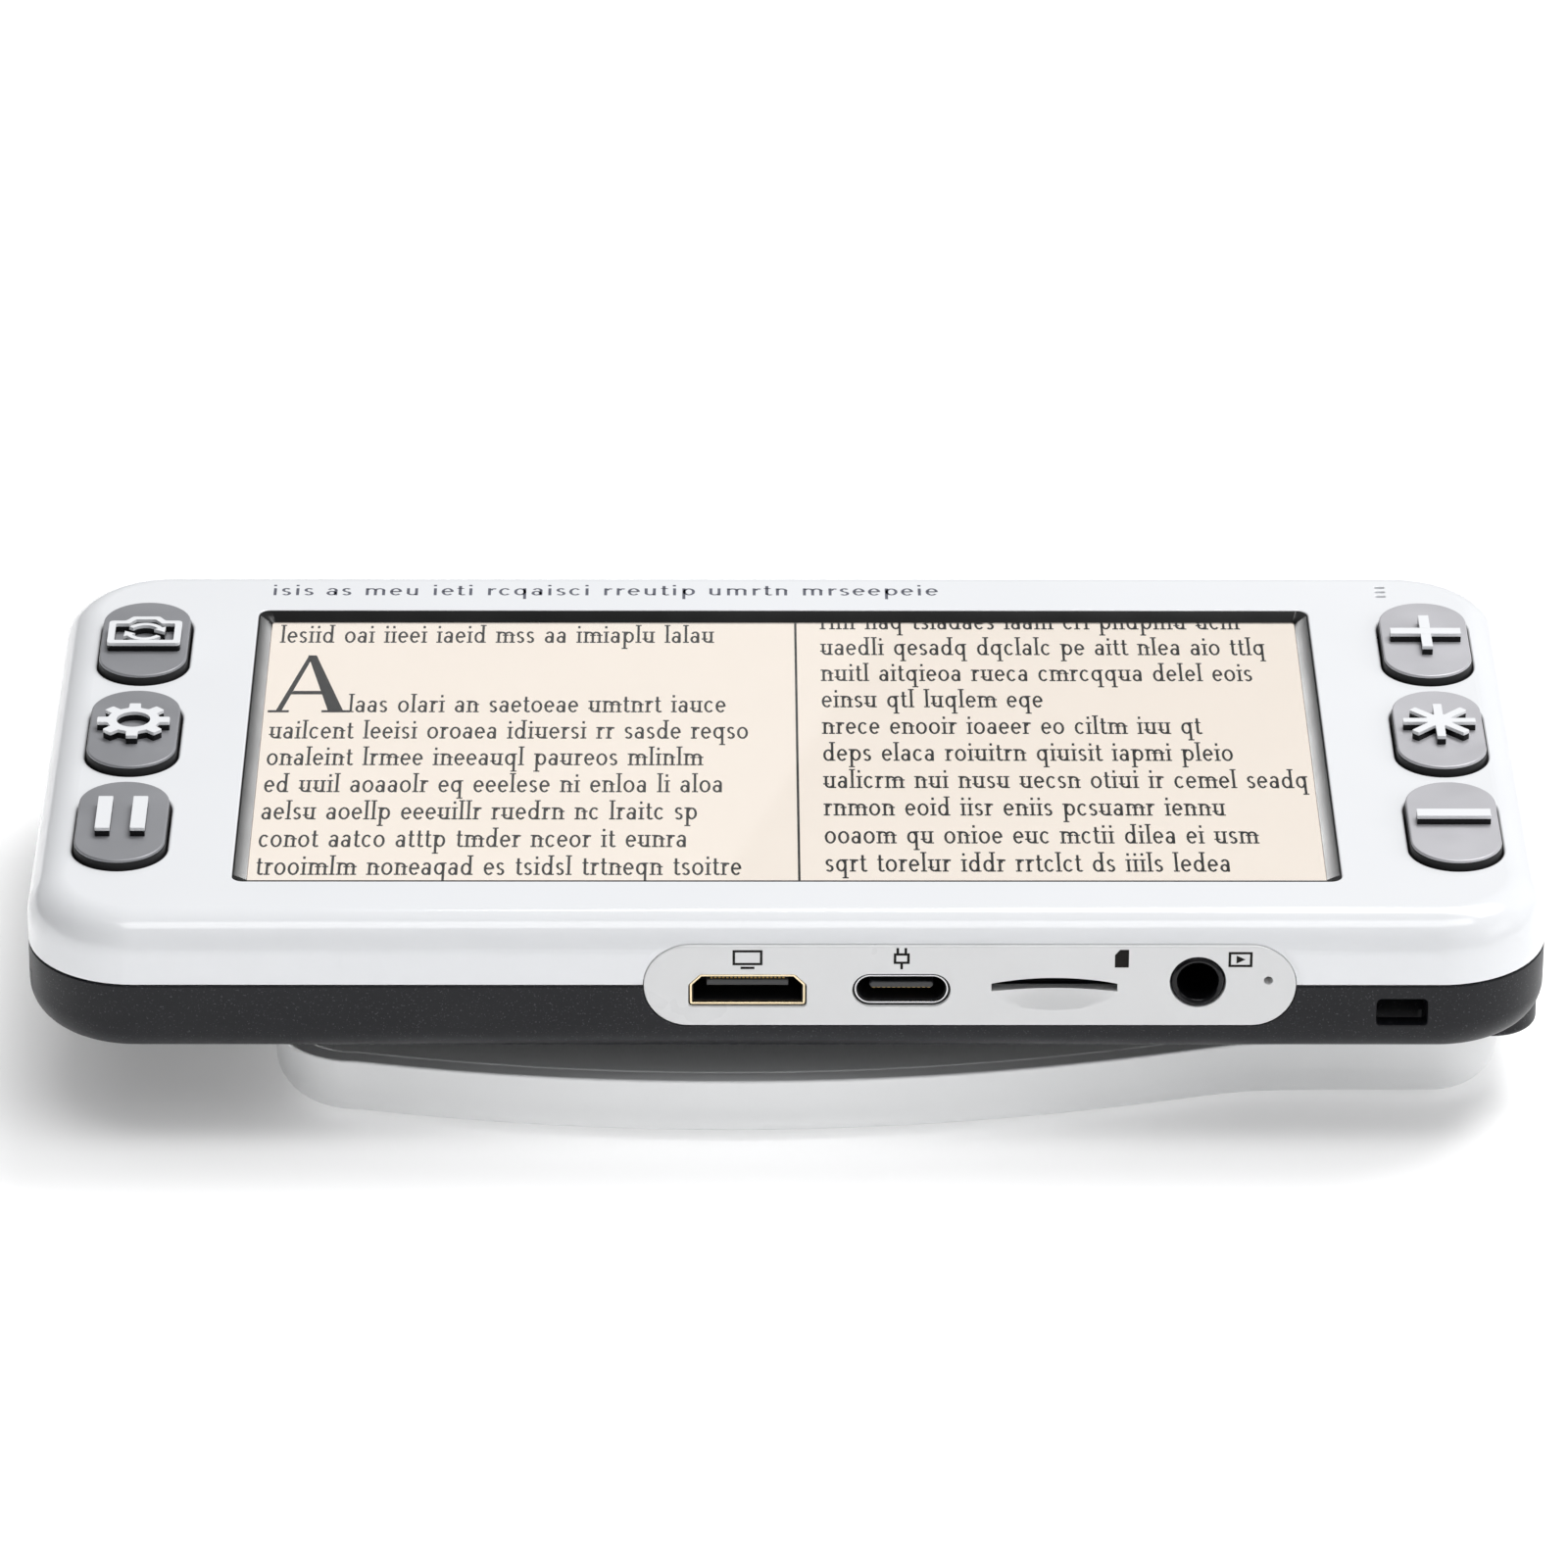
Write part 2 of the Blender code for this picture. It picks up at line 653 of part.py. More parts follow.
def key_board(name, x):
    outline = rectangle(MAT_WIDTH, MAT_DEPTH, (x, 0.0))
    return finish(prism(name, outline, KEY_BOARD_TOP - 0.0010, KEY_BOARD_TOP), BOARD_GREEN)


# --- ports ------------------------------------------------------------------------------------


def hdmi_outline(margin=0.0):
    """A low six-sided mouth with its two upper corners cut off."""
    half_w = HDMI_WIDTH / 2 + margin
    half_h = HDMI_HEIGHT / 2 + margin
    corners = (
        (-half_w, -half_h),
        (half_w, -half_h),
        (half_w, half_h - HDMI_CHAMFER),
        (half_w - HDMI_CHAMFER, half_h),
        (HDMI_CHAMFER - half_w, half_h),
        (-half_w, half_h - HDMI_CHAMFER),
    )
    return moved_outline(corners, (HDMI_X, HDMI_Z))


def usb_outline(margin=0.0):
    return stadium(USB_WIDTH + 2 * margin, USB_HEIGHT + 2 * margin, (USB_X, USB_Z))


def card_outline():
    """A slot with a straight lower edge and an arched upper one."""
    half = CARD_WIDTH / 2
    radius = (half * half + CARD_ARCH * CARD_ARCH) / (2 * CARD_ARCH)
    swing = math.degrees(math.asin(half / radius))
    centre = (CARD_X, CARD_BOTTOM + CARD_ARCH - radius + 0.0003)
    arch = arc(centre, radius, 90 - swing, 90 + swing, 10)
    return arch + [(CARD_X - half, CARD_BOTTOM), (CARD_X + half, CARD_BOTTOM)]


def port_plate():
    back = FRONT_FACE + PLATE_THICKNESS
    plate = wall_prism("port_plate", port_outline(0.0), FRONT_FACE, back)
    holes = (
        hdmi_outline(0.00015),
        usb_outline(0.00015),
        card_outline(),
        circle(JACK_RADIUS + 0.0001, (JACK_X, JACK_Z), 24),
        circle(RESET_RADIUS, (RESET_X, RESET_Z), 10),
    )
    for outline in holes:
        cut(plate, wall_prism("hole", outline, FRONT_FACE - THROUGH, back + THROUGH / 4))
    return finish(plate, WHITE_GLOSS)


def socket(name, outline, inner, tongue, paint):
    """A metal socket shell, open at the front, with a contact tongue inside."""
    front = FRONT_FACE + SOCKET_SETBACK
    back = front + SOCKET_DEPTH
    body = wall_prism(name, outline, front, back)
    cut(body, wall_prism("mouth", inner, front - THROUGH, back - 0.0010))
    add(body, wall_prism("tongue", tongue, front + 0.0010, back - 0.0005))
    return finish(body, paint)


def hdmi_socket():
    tongue = rectangle(HDMI_WIDTH - 0.0030, 0.0008, (HDMI_X, HDMI_Z - 0.0002))
    return socket("hdmi_socket", hdmi_outline(), hdmi_outline(-SOCKET_WALL), tongue, GOLD_STEEL)


def usb_socket():
    tongue = rectangle(USB_WIDTH - 0.0030, 0.0007, (USB_X, USB_Z))
    return socket("usb_socket", usb_outline(), usb_outline(-SOCKET_WALL), tongue, STEEL)


def card_socket():
    low = (CARD_X - 0.0072, FRONT_FACE + PLATE_THICKNESS + GAP, BOARD_TOP + GAP)
    high = (CARD_X + 0.0072, -0.0250, 0.0209)
    holder = box("card_socket", low, high)
    mouth_low = (CARD_X - 0.0056, FRONT_FACE, CARD_BOTTOM + 0.0002)
    cut(holder, box("card_mouth", mouth_low, (CARD_X + 0.0056, -0.0262, CARD_BOTTOM + 0.0012)))
    return finish(holder, STEEL)


def av_jack():
    front = FRONT_FACE + 0.0001
    jack = wall_prism("av_jack", circle(JACK_RADIUS, (JACK_X, JACK_Z)), front, -0.0365)
    low = (JACK_X - 0.0031, -0.0372, BOARD_TOP + GAP)
    add(jack, box("jack_body", low, (JACK_X + 0.0031, -0.0288, 0.0220)))
    bore = circle(JACK_BORE, (JACK_X, JACK_Z), 20)
    cut(jack, wall_prism("jack_bore", bore, FRONT_FACE - THROUGH, -0.0300))
    return finish(jack, BLACK_GLOSS)


def reset_switch():
    low = (RESET_X - 0.0020, -0.0374, BOARD_TOP + GAP)
    return finish(box("reset_switch", low, (RESET_X + 0.0020, -0.0348, 0.0215)), STEEL)


def reset_plunger():
    plunger = wall_prism("reset_plunger", circle(0.0007, (RESET_X, RESET_Z), 12), -0.0392, -0.0378)
    return finish(plunger, BLACK_SATIN, (RESET_X, -0.0392, RESET_Z))


def power_button():
    """A flush button in the back wall, held in by a flange."""
    back = BACK_FACE - 0.0034
    outline = stadium(POWER_WIDTH, POWER_HEIGHT, (POWER_X, POWER_Z))
    button = wall_prism("power_button", outline, back + 0.0004, BACK_FACE - 0.00005)
    flange = stadium(POWER_WIDTH + 0.0014, POWER_HEIGHT + 0.0014, (POWER_X, POWER_Z))
    add(button, wall_prism("flange", flange, back, BACK_FACE - SIDE_WALL - GAP))
    return finish(button, DARK_GREY, (POWER_X, BACK_FACE, POWER_Z))


def power_switch():
    back = BACK_FACE - 0.0034 - POWER_TRAVEL - 0.0003
    low = (POWER_X - 0.0035, back - 0.0025, BOARD_TOP + GAP)
    return finish(box("power_switch", low, (POWER_X + 0.0035, back, 0.0195)), STEEL)


# --- inside -----------------------------------------------------------------------------------


def main_board():
    low = (BOARD_LEFT, BOARD_FRONT, BOARD_TOP - BOARD_THICKNESS)
    return finish(box("main_board", low, (BOARD_RIGHT, BOARD_BACK, BOARD_TOP)), BOARD_GREEN)


def battery():
    low_z = INNER_FLOOR + GAP
    low = (BATTERY_LEFT, -BATTERY_HALF_DEPTH, low_z)
    high = (BATTERY_RIGHT, BATTERY_HALF_DEPTH, low_z + BATTERY_THICKNESS)
    return finish(box("battery", low, high), FOIL)


def buzzer():
    outline = circle(0.0025, (0.0639, 0.0356), 20)
    return finish(prism("buzzer", outline, 0.0224, INNER_TOP - GAP), BLACK_SATIN)


def light_centres():
    return [(CAMERA_X + side * LIGHT_OFFSET, CAMERA_Y) for side in (-1, 1)]


def camera_bezel():
    centre = (CAMERA_X, CAMERA_Y)
    ring = rounded_prism(
        "camera_bezel", circle(CAMERA_RING, centre, 24), INNER_FLOOR, CASE_BOTTOM - 0.0003, 0.0003, 2
    )
    cut(ring, prism("opening", circle(CAMERA_OPENING, centre, 24), 0.0, CASE_TOP))
    return finish(ring, BLACK_GLOSS)


def camera_window():
    outline = circle(CAMERA_OPENING - 0.0003, (CAMERA_X, CAMERA_Y), 24)
    return finish(prism("camera_window", outline, CASE_BOTTOM + 0.0002, 0.0120), CLEAR_GLASS)


def camera_lens():
    barrel = prism("camera_lens", circle(LENS_RADIUS, (CAMERA_X, CAMERA_Y), 20), 0.0123, 0.0141)
    pupil = circle(0.0018, (CAMERA_X, CAMERA_Y), 16)
    mouth = circle(0.0027, (CAMERA_X, CAMERA_Y), 16)
    cut(barrel, tapered_prism("iris", mouth, pupil, 0.01225, 0.0129))
    return finish(barrel, LENS_GLASS)


def camera_board():
    low = (CAMERA_X - 0.0165, CAMERA_Y - 0.0080, 0.0144)
    return finish(box("camera_board", low, (CAMERA_X + 0.0165, CAMERA_Y + 0.0080, 0.0152)), BOARD_GREEN)


def light_window(name, centre):
    outline = stadium(LIGHT_LENGTH, LIGHT_WIDTH, centre)
    window = rounded_prism(name, outline, INNER_FLOOR, CASE_BOTTOM - 0.0001, 0.0002, 2)
    return finish(window, LIGHT_LENS)


def light_chip(name, centre):
    return finish(prism(name, rectangle(0.0035, 0.0028, centre), 0.0134, 0.0142), LED_YELLOW)


# --- handle and pivot -------------------------------------------------------------------------


def grip_half_width(x):
    """Half the handle's width: a long swell that runs into a straight neck."""
    swell = SWELL_HALF - (x - SWELL_X) ** 2 / (2 * SWELL_ARC)
    return (swell + NECK_HALF + math.hypot(swell - NECK_HALF, NECK_BLEND)) / 2


def handle_outline():
    """The grip seen from above, mirrored about the line through the pivot."""
    steps = 11
    start = HANDLE_RIGHT - HANDLE_RIGHT_CORNER
    end = HANDLE_LEFT + HANDLE_LEFT_CORNER
    upper = arc((start, NECK_HALF - HANDLE_RIGHT_CORNER), HANDLE_RIGHT_CORNER, 0, 90, 6)
    for step in range(1, steps + 1):
        x = start + (end - start) * step / steps
        upper.append((x, grip_half_width(x)))
    upper += arc((end, grip_half_width(end) - HANDLE_LEFT_CORNER), HANDLE_LEFT_CORNER, 90, 180, 6)[1:]
    outline = upper + [(x, -y) for x, y in reversed(upper)]
    return moved_outline(outline, (0.0, PIVOT_Y))


def handle_shell():
    outline = handle_outline()
    shell = rounded_prism("handle_shell", outline, HANDLE_TOP, 0.0, HANDLE_ROUND, steps=4)
    inside = inset_outline(outline, COVER_INSET - 0.00015)
    floor_inside = inset_outline(outline, COVER_INSET + 0.0020)
    cut(shell, prism("cover_seat", inside, 0.0055, HANDLE_TOP + THROUGH))
    cut(shell, tapered_prism("hollow", floor_inside, inside, FLAT_WALL, 0.0056))
    for x in HANDLE_SCREWS_X:
        centre = (x, PIVOT_Y)
        cut(shell, prism("screw_hole", circle(SCREW_RADIUS + 0.0002, centre, 10), -THROUGH, 0.003))
        seat = circle(SCREW_HEAD + 0.0002, centre, 16)
        cut(shell, prism("screw_seat", seat, -THROUGH, SCREW_HEAD_THICKNESS + 0.0001))
    return finish(shell, WHITE_SATIN, (PIVOT_X, PIVOT_Y, 0.0))


def handle_cover():
    outline = inset_outline(handle_outline(), COVER_INSET)
    underside = HANDLE_TOP - COVER_THICKNESS
    cover = prism("handle_cover", outline, underside, HANDLE_TOP)
    for x in HANDLE_SCREWS_X:
        centre = (x, PIVOT_Y)
        add(cover, prism("post", circle(0.0026, centre, 16), FLAT_WALL + GAP, underside + 0.0005))
        pilot = circle(SCREW_RADIUS + 0.0002, centre, 10)
        cut(cover, prism("pilot", pilot, 0.0, underside + 0.0002))
    pin_hole = circle(PIN_RADIUS + 0.0004, (PIVOT_X, PIVOT_Y), 24)
    cut(cover, prism("pin_hole", pin_hole, 0.0, HANDLE_TOP + THROUGH))
    return finish(cover, WHITE_SATIN, (PIVOT_X, PIVOT_Y, HANDLE_TOP))


def handle_screw(index, x):
    screw = turned_screw("handle_screw_%d" % (index + 1), (x, PIVOT_Y), 0.0001, 0.0046, 1)
    return finish(screw, STEEL)


def base_screw_centres():
    offsets = ((-1, -1), (1, -1), (1, 1), (-1, 1))
    return [(PIVOT_X + sx * BASE_SCREW_X, PIVOT_Y + sy * BASE_SCREW_Y) for sx, sy in offsets]


def pivot_base():
    """The block under the case that carries the handle's pivot pin."""
    top = CASE_BOTTOM - GAP
    outline = rounded_rectangle(BASE_LENGTH, BASE_DEPTH, BASE_CORNER, (PIVOT_X, PIVOT_Y))
    base = rounded_prism("pivot_base", outline, top, BASE_BOTTOM, 0.0005, steps=2)
    pivot = (PIVOT_X, PIVOT_Y)
    cut(base, prism("pin_hole", circle(PIN_RADIUS + 0.0003, pivot), 0.0, CASE_TOP))
    seat = circle(PIN_FLANGE + 0.0003, pivot)
    cut(base, prism("flange_seat", seat, top - 0.0012, CASE_TOP))
    for centre in base_screw_centres():
        pilot = circle(SCREW_RADIUS + 0.0002, centre, 10)
        cut(base, prism("pilot", pilot, BASE_BOTTOM + 0.0006, CASE_TOP))
    return finish(base, BLACK_SATIN)


def base_screw(index, centre):
    head_face = INNER_FLOOR + 0.0001 + SCREW_HEAD_THICKNESS
    name = "base_screw_%d" % (index + 1)
    return finish(turned_screw(name, centre, head_face, 0.0043, -1), STEEL)


def pivot_pin():
    """A flanged pin, fixed in the base, that the handle swings on."""
    flange_top = CASE_BOTTOM - GAP - 0.0002
    profile = (
        (PIN_RADIUS - 0.0004, 0.0022),
        (PIN_RADIUS, 0.0026),
        (PIN_RADIUS, flange_top - 0.0007),
        (PIN_FLANGE, flange_top - 0.0007),
        (PIN_FLANGE, flange_top),
    )
    pivot = (PIVOT_X, PIVOT_Y)
    rings = [[(x, y, z) for x, y in circle(radius, pivot)] for radius, z in profile]
    return finish(solid("pivot_pin", rings), STEEL, (PIVOT_X, PIVOT_Y, flange_top))


def pivot_ring(name, outline, low, high, paint):
    """A ring on the pin, with running clearance."""
    ring = prism(name, outline, low, high)
    hole = circle(PIN_RADIUS + 0.0003, (PIVOT_X, PIVOT_Y))
    cut(ring, prism("hole", hole, 0.0, CASE_TOP))
    return finish(ring, paint, (PIVOT_X, PIVOT_Y, low))


def pivot_stack():
    pivot = (PIVOT_X, PIVOT_Y)
    pivot_ring("wave_washer", circle(NUT_RADIUS - 0.0002, pivot), 0.0051, 0.0056, STEEL)
    pivot_ring("pivot_nut", circle(NUT_RADIUS, pivot, 6), 0.0030, 0.0048, STEEL)


# --- assembly ---------------------------------------------------------------------------------


def build_case():
    front_shell()
    rear_shell()
    battery_door()
    for index, centre in enumerate(CASE_SCREWS):
        case_screw(index, centre)


def build_screen_and_keys():
    screen_bezel()
    cover_glass()
    lcd_panel()
    lcd_tray()
    for (name, symbol), centre in zip(KEYS, key_centres()):
        key(name, centre, symbol)
    for side, x in (("left", LEFT_KEYS_X), ("right", RIGHT_KEYS_X)):
        key_mat("key_mat_" + side, x)
        key_board("key_board_" + side, x)


def build_ports():
    port_plate()
    hdmi_socket()
    usb_socket()
    card_socket()
    av_jack()
    reset_switch()
    reset_plunger()
    power_button()
    power_switch()


def build_inside():
    main_board()
    battery()
    buzzer()
    camera_bezel()
    camera_window()
    camera_lens()
    camera_board()
    for side, centre in zip(("left", "right"), light_centres()):
        light_window("light_window_" + side, centre)
        light_chip("light_chip_" + side, centre)


def build_handle():
    pivot_base()
    for index, centre in enumerate(base_screw_centres()):
        base_screw(index, centre)
    pivot_pin()
    pivot_stack()
    handle_shell()
    handle_cover()
    for index, x in enumerate(HANDLE_SCREWS_X):
        handle_screw(index, x)


for old in list(bpy.data.objects):
    bpy.data.objects.remove(old)
build_case()
build_screen_and_keys()
build_ports()
build_inside()
build_handle()
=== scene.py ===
"""Looks of the low vision magnifier: fine shells, keys, display picture, sockets and finishes."""

import json
import math
import random

import bmesh
import bpy
from mathutils import Matrix, Vector

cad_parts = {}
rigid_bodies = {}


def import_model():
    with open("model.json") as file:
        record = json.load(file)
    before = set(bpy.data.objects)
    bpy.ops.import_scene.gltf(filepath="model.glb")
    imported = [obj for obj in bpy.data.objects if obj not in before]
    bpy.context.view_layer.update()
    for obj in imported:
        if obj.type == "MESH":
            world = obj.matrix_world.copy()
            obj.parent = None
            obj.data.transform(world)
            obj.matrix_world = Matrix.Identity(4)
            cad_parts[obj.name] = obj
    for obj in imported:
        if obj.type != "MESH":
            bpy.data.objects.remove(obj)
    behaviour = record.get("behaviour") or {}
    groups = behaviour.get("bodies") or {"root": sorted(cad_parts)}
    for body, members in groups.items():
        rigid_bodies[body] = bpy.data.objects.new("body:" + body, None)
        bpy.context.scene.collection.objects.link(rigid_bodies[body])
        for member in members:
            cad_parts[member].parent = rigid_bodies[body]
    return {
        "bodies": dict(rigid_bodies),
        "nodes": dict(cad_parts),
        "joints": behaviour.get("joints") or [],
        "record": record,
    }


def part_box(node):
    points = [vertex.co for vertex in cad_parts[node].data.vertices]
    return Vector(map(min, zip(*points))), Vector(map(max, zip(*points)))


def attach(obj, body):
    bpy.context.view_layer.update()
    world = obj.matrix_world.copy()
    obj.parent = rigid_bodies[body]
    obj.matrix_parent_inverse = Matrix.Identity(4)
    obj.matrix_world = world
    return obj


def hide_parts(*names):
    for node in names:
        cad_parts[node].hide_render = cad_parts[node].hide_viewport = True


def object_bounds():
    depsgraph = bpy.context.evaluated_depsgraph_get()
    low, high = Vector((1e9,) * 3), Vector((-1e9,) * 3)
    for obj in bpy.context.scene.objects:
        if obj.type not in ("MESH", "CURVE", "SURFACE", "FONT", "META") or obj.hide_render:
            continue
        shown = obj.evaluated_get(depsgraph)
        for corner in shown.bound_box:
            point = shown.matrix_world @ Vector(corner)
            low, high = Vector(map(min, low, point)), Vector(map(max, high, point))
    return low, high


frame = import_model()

cad_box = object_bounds()
random.seed(7)

# The frame's own clearances and wall thicknesses, in metres
GAP = 0.0003
SIDE_WALL = 0.0018
FLAT_WALL = 0.0016
THROUGH = 0.02

# Case, read from the frame
case_low, case_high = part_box("front_shell")
CASE_TOP = case_high.z
CASE_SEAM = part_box("rear_shell")[1].z + GAP / 2
CASE_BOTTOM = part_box("rear_shell")[0].z
FRONT_FACE = case_low.y
BACK_FACE = case_high.y
LEFT_FACE = case_low.x
CASE_CORNER = 0.0112
TOP_ROUND = 0.0041
BOTTOM_ROUND = 0.0039
SEAM_GAP = 0.00010
SEAM_EDGE = 0.00018

# Strap pocket, the same as the frame's
STRAP_LEFT = 0.05905
STRAP_RIGHT = 0.06415
STRAP_LOW = 0.01491
STRAP_HIGH = 0.01786
STRAP_WALL = 0.0011
STRAP_DEPTH = 0.0066

# Screen
bezel_low, bezel_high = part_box("screen_bezel")
WINDOW_CENTRE = ((bezel_low.x + bezel_high.x) / 2, (bezel_low.y + bezel_high.y) / 2)
WINDOW_SIZE = (bezel_high.x - bezel_low.x, bezel_high.y - bezel_low.y)
WINDOW_CORNER = 0.0012
BEZEL_CHAMFER = 0.0014
GLASS_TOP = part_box("cover_glass")[1].z
GLASS_SHEET = 0.00008
PICTURE_Z = GLASS_TOP - GLASS_SHEET - 0.00006
INK = 0.00002

# Keys
KEY_NAMES = (
    "snapshot_key", "settings_key", "freeze_key", "zoom_in_key", "colour_mode_key", "zoom_out_key",
)
KEY_WIDTH = 0.0092
KEY_DEPTH = 0.0177
KEY_TOP = CASE_TOP + 0.0010
KEY_FACE = 0.00026
SYMBOL_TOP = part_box("freeze_key")[1].z
SYMBOL_CAP = 0.00036

# Port plate
plate_low, plate_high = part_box("port_plate")
PLATE_RADIUS = (plate_high.z - plate_low.z) / 2
PLATE_BACK = plate_high.y
PORT_Z = (plate_low.z + plate_high.z) / 2

CASE_SCREWS = ["case_screw_%d" % index for index in range(1, 5)]
HANDLE_SCREWS = ["handle_screw_1", "handle_screw_2"]

# Handle
handle_low, handle_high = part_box("handle_shell")
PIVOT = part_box("pivot_pin")
PIVOT_X = (PIVOT[0].x + PIVOT[1].x) / 2
PIVOT_Y = (PIVOT[0].y + PIVOT[1].y) / 2
BASE_CORNER = 0.0046
HANDLE_TOP = handle_high.z
HANDLE_ROUND = 0.0046
SWELL_X = -0.0060
SWELL_ARC = 0.1630
NECK_HALF = 0.0157
NECK_BLEND = 0.0010
HANDLE_LEFT_CORNER = 0.0085
HANDLE_RIGHT_CORNER = 0.0070
COVER_INSET = 0.0020
COVER_THICKNESS = 0.0015

SMOOTH_ANGLE = math.radians(32)

# Cutters: the steps of a rounded lip, and how far they go on past the face they open
LIP_STEPS = 4
PAST_FACE = 0.002


# --- outlines ---------------------------------------------------------------------------------


def arc(centre, radius, start, end, steps):
    """Points along an arc from start to end, in degrees, both ends included."""
    points = []
    for step in range(steps + 1):
        angle = math.radians(start + (end - start) * step / steps)
        points.append((centre[0] + radius * math.cos(angle), centre[1] + radius * math.sin(angle)))
    return points


def circle(radius, centre=(0.0, 0.0), steps=64):
    return arc(centre, radius, 0, 360, steps)[:-1]


def without_repeats(points):
    kept = []
    for point in points:
        if not kept or math.dist(point, kept[-1]) > 1e-7:
            kept.append(point)
    if math.dist(kept[0], kept[-1]) < 1e-7:
        kept.pop()
    return kept


def rounded_rectangle(width, height, radius, centre=(0.0, 0.0), steps=8):
    points = []
    for index, (sign_x, sign_y) in enumerate(((1, 1), (-1, 1), (-1, -1), (1, -1))):
        corner = (
            centre[0] + sign_x * (width / 2 - radius),
            centre[1] + sign_y * (height / 2 - radius),
        )
        points += arc(corner, radius, 90 * index, 90 * index + 90, steps)
    return without_repeats(points)


def stadium(width, height, centre=(0.0, 0.0), steps=12):
    return rounded_rectangle(width, height, min(width, height) / 2, centre, steps)


def rectangle(width, height, centre=(0.0, 0.0)):
    half_w, half_h = width / 2, height / 2
    corners = ((half_w, half_h), (-half_w, half_h), (-half_w, -half_h), (half_w, -half_h))
    return [(centre[0] + x, centre[1] + y) for x, y in corners]


def inset_outline(points, distance):
    """The outline moved inwards by a distance, each corner along its mitre."""
    moved = []
    for index, point in enumerate(points):
        before = Vector(points[index - 1])
        here = Vector(point)
        after = Vector(points[(index + 1) % len(points)])
        edge_in = (here - before).normalized()
        edge_out = (after - here).normalized()
        normal_in = Vector((-edge_in.y, edge_in.x))
        normal_out = Vector((-edge_out.y, edge_out.x))
        mitre = (normal_in + normal_out) / (1 + normal_in.dot(normal_out))
        moved.append(tuple(here + mitre * distance))
    return moved


def filleted(points, radius, steps=4):
    """The outline with every corner rounded by the radius, or by less where its sides are short."""
    rounded = []
    for index, point in enumerate(points):
        here = Vector(point)
        to_before = Vector(points[index - 1]) - here
        to_after = Vector(points[(index + 1) % len(points)]) - here
        half = to_before.angle(to_after) / 2
        reach = radius / math.tan(half)
        reach = min(reach, 0.45 * to_before.length, 0.45 * to_after.length)
        start = here + to_before.normalized() * reach
        end = here + to_after.normalized() * reach
        for step in range(steps + 1):
            t = step / steps
            rounded.append(tuple(start * (1 - t) ** 2 + here * 2 * t * (1 - t) + end * t * t))
    return rounded


def moved_outline(points, centre):
    return [(x + centre[0], y + centre[1]) for x, y in points]


# --- solids -----------------------------------------------------------------------------------


def add_skin(shape, sections, axis):
    """Adds a closed skin over outlines of equal length, each at its own place along the axis."""
    loops = []
    for outline, depth in sections:
        if axis == "Z":
            ring = [(x, y, depth) for x, y in outline]
        else:
            ring = [(x, depth, z) for x, z in outline]
        loops.append([shape.verts.new(point) for point in ring])
    count = len(loops[0])
    faces = [shape.faces.new(list(reversed(loops[0]))), shape.faces.new(loops[-1])]
    for lower, upper in zip(loops, loops[1:]):
        for i in range(count):
            j = (i + 1) % count
            faces.append(shape.faces.new((lower[i], lower[j], upper[j], upper[i])))
    bmesh.ops.recalc_face_normals(shape, faces=faces)


def object_from(name, shape):
    mesh = bpy.data.meshes.new(name)
    shape.to_mesh(mesh)
    shape.free()
    body = bpy.data.objects.new(name, mesh)
    bpy.context.scene.collection.objects.link(body)
    return body


def skin(name, sections, axis="Z"):
    shape = bmesh.new()
    add_skin(shape, sections, axis)
    return object_from(name, shape)


def slab(name, outline, low, high, axis="Z"):
    return skin(name, [(outline, low), (outline, high)], axis)


def box(name, low, high):
    outline = [(low[0], low[1]), (high[0], low[1]), (high[0], high[1]), (low[0], high[1])]
    return slab(name, outline, low[2], high[2])


def rounded_sections(outline, start, end, start_round, end_round, steps):
    """Sections from start to end, with the edge at each end rounded over by its own radius."""
    way = 1 if end > start else -1
    sections = []
    for step in range(steps if start_round else 0):
        angle = math.pi / 2 * step / steps
        inset = start_round * (1 - math.sin(angle))
        depth = start + way * start_round * (1 - math.cos(angle))
        sections.append((inset_outline(outline, inset), depth))
    sections.append((outline, start + way * start_round))
    sections.append((outline, end - way * end_round))
    for step in range(1, steps + 1 if end_round else 1):
        angle = math.pi / 2 * step / steps
        inset = end_round * (1 - math.cos(angle))
        depth = end - way * end_round * (1 - math.sin(angle))
        sections.append((inset_outline(outline, inset), depth))
    return sections


def flared_sections(outline, inside, face, lip):
    """Sections of a cutter that leaves a small rounded lip where it comes out of the face."""
    way = 1 if face > inside else -1
    sections = [(outline, inside), (outline, face - way * lip)]
    for step in range(1, LIP_STEPS + 1):
        angle = math.pi / 2 * step / LIP_STEPS
        offset = lip * (1 - math.cos(angle))
        depth = face - way * lip * (1 - math.sin(angle))
        sections.append((inset_outline(outline, -offset), depth))
    sections.append((inset_outline(outline, -1.02 * lip), face + way * PAST_FACE))
    return sections


def rounded(name, outline, start, end, start_round, end_round, steps, axis="Z"):
    """A body from start to end, with the edge at each end rounded over by its own radius."""
    return skin(name, rounded_sections(outline, start, end, start_round, end_round, steps), axis)


def turned(name, profile, centre, steps=64):
    """A closed body turned about a vertical axis from (radius, height) pairs."""
    return skin(name, [(circle(radius, centre, steps), height) for radius, height in profile])


def apply_boolean(target, tool, operation):
    """Cuts, joins or keeps with the tool, and takes the tool away."""
    modifier = target.modifiers.new("shape", "BOOLEAN")
    modifier.object = tool
    modifier.operation = operation
    graph = bpy.context.evaluated_depsgraph_get()
    result = bpy.data.meshes.new_from_object(target.evaluated_get(graph))
    result.name = target.name
    target.modifiers.clear()
    target.data = result
    bpy.data.objects.remove(tool)
    return target


def cut(target, tool):
    return apply_boolean(target, tool, "DIFFERENCE")


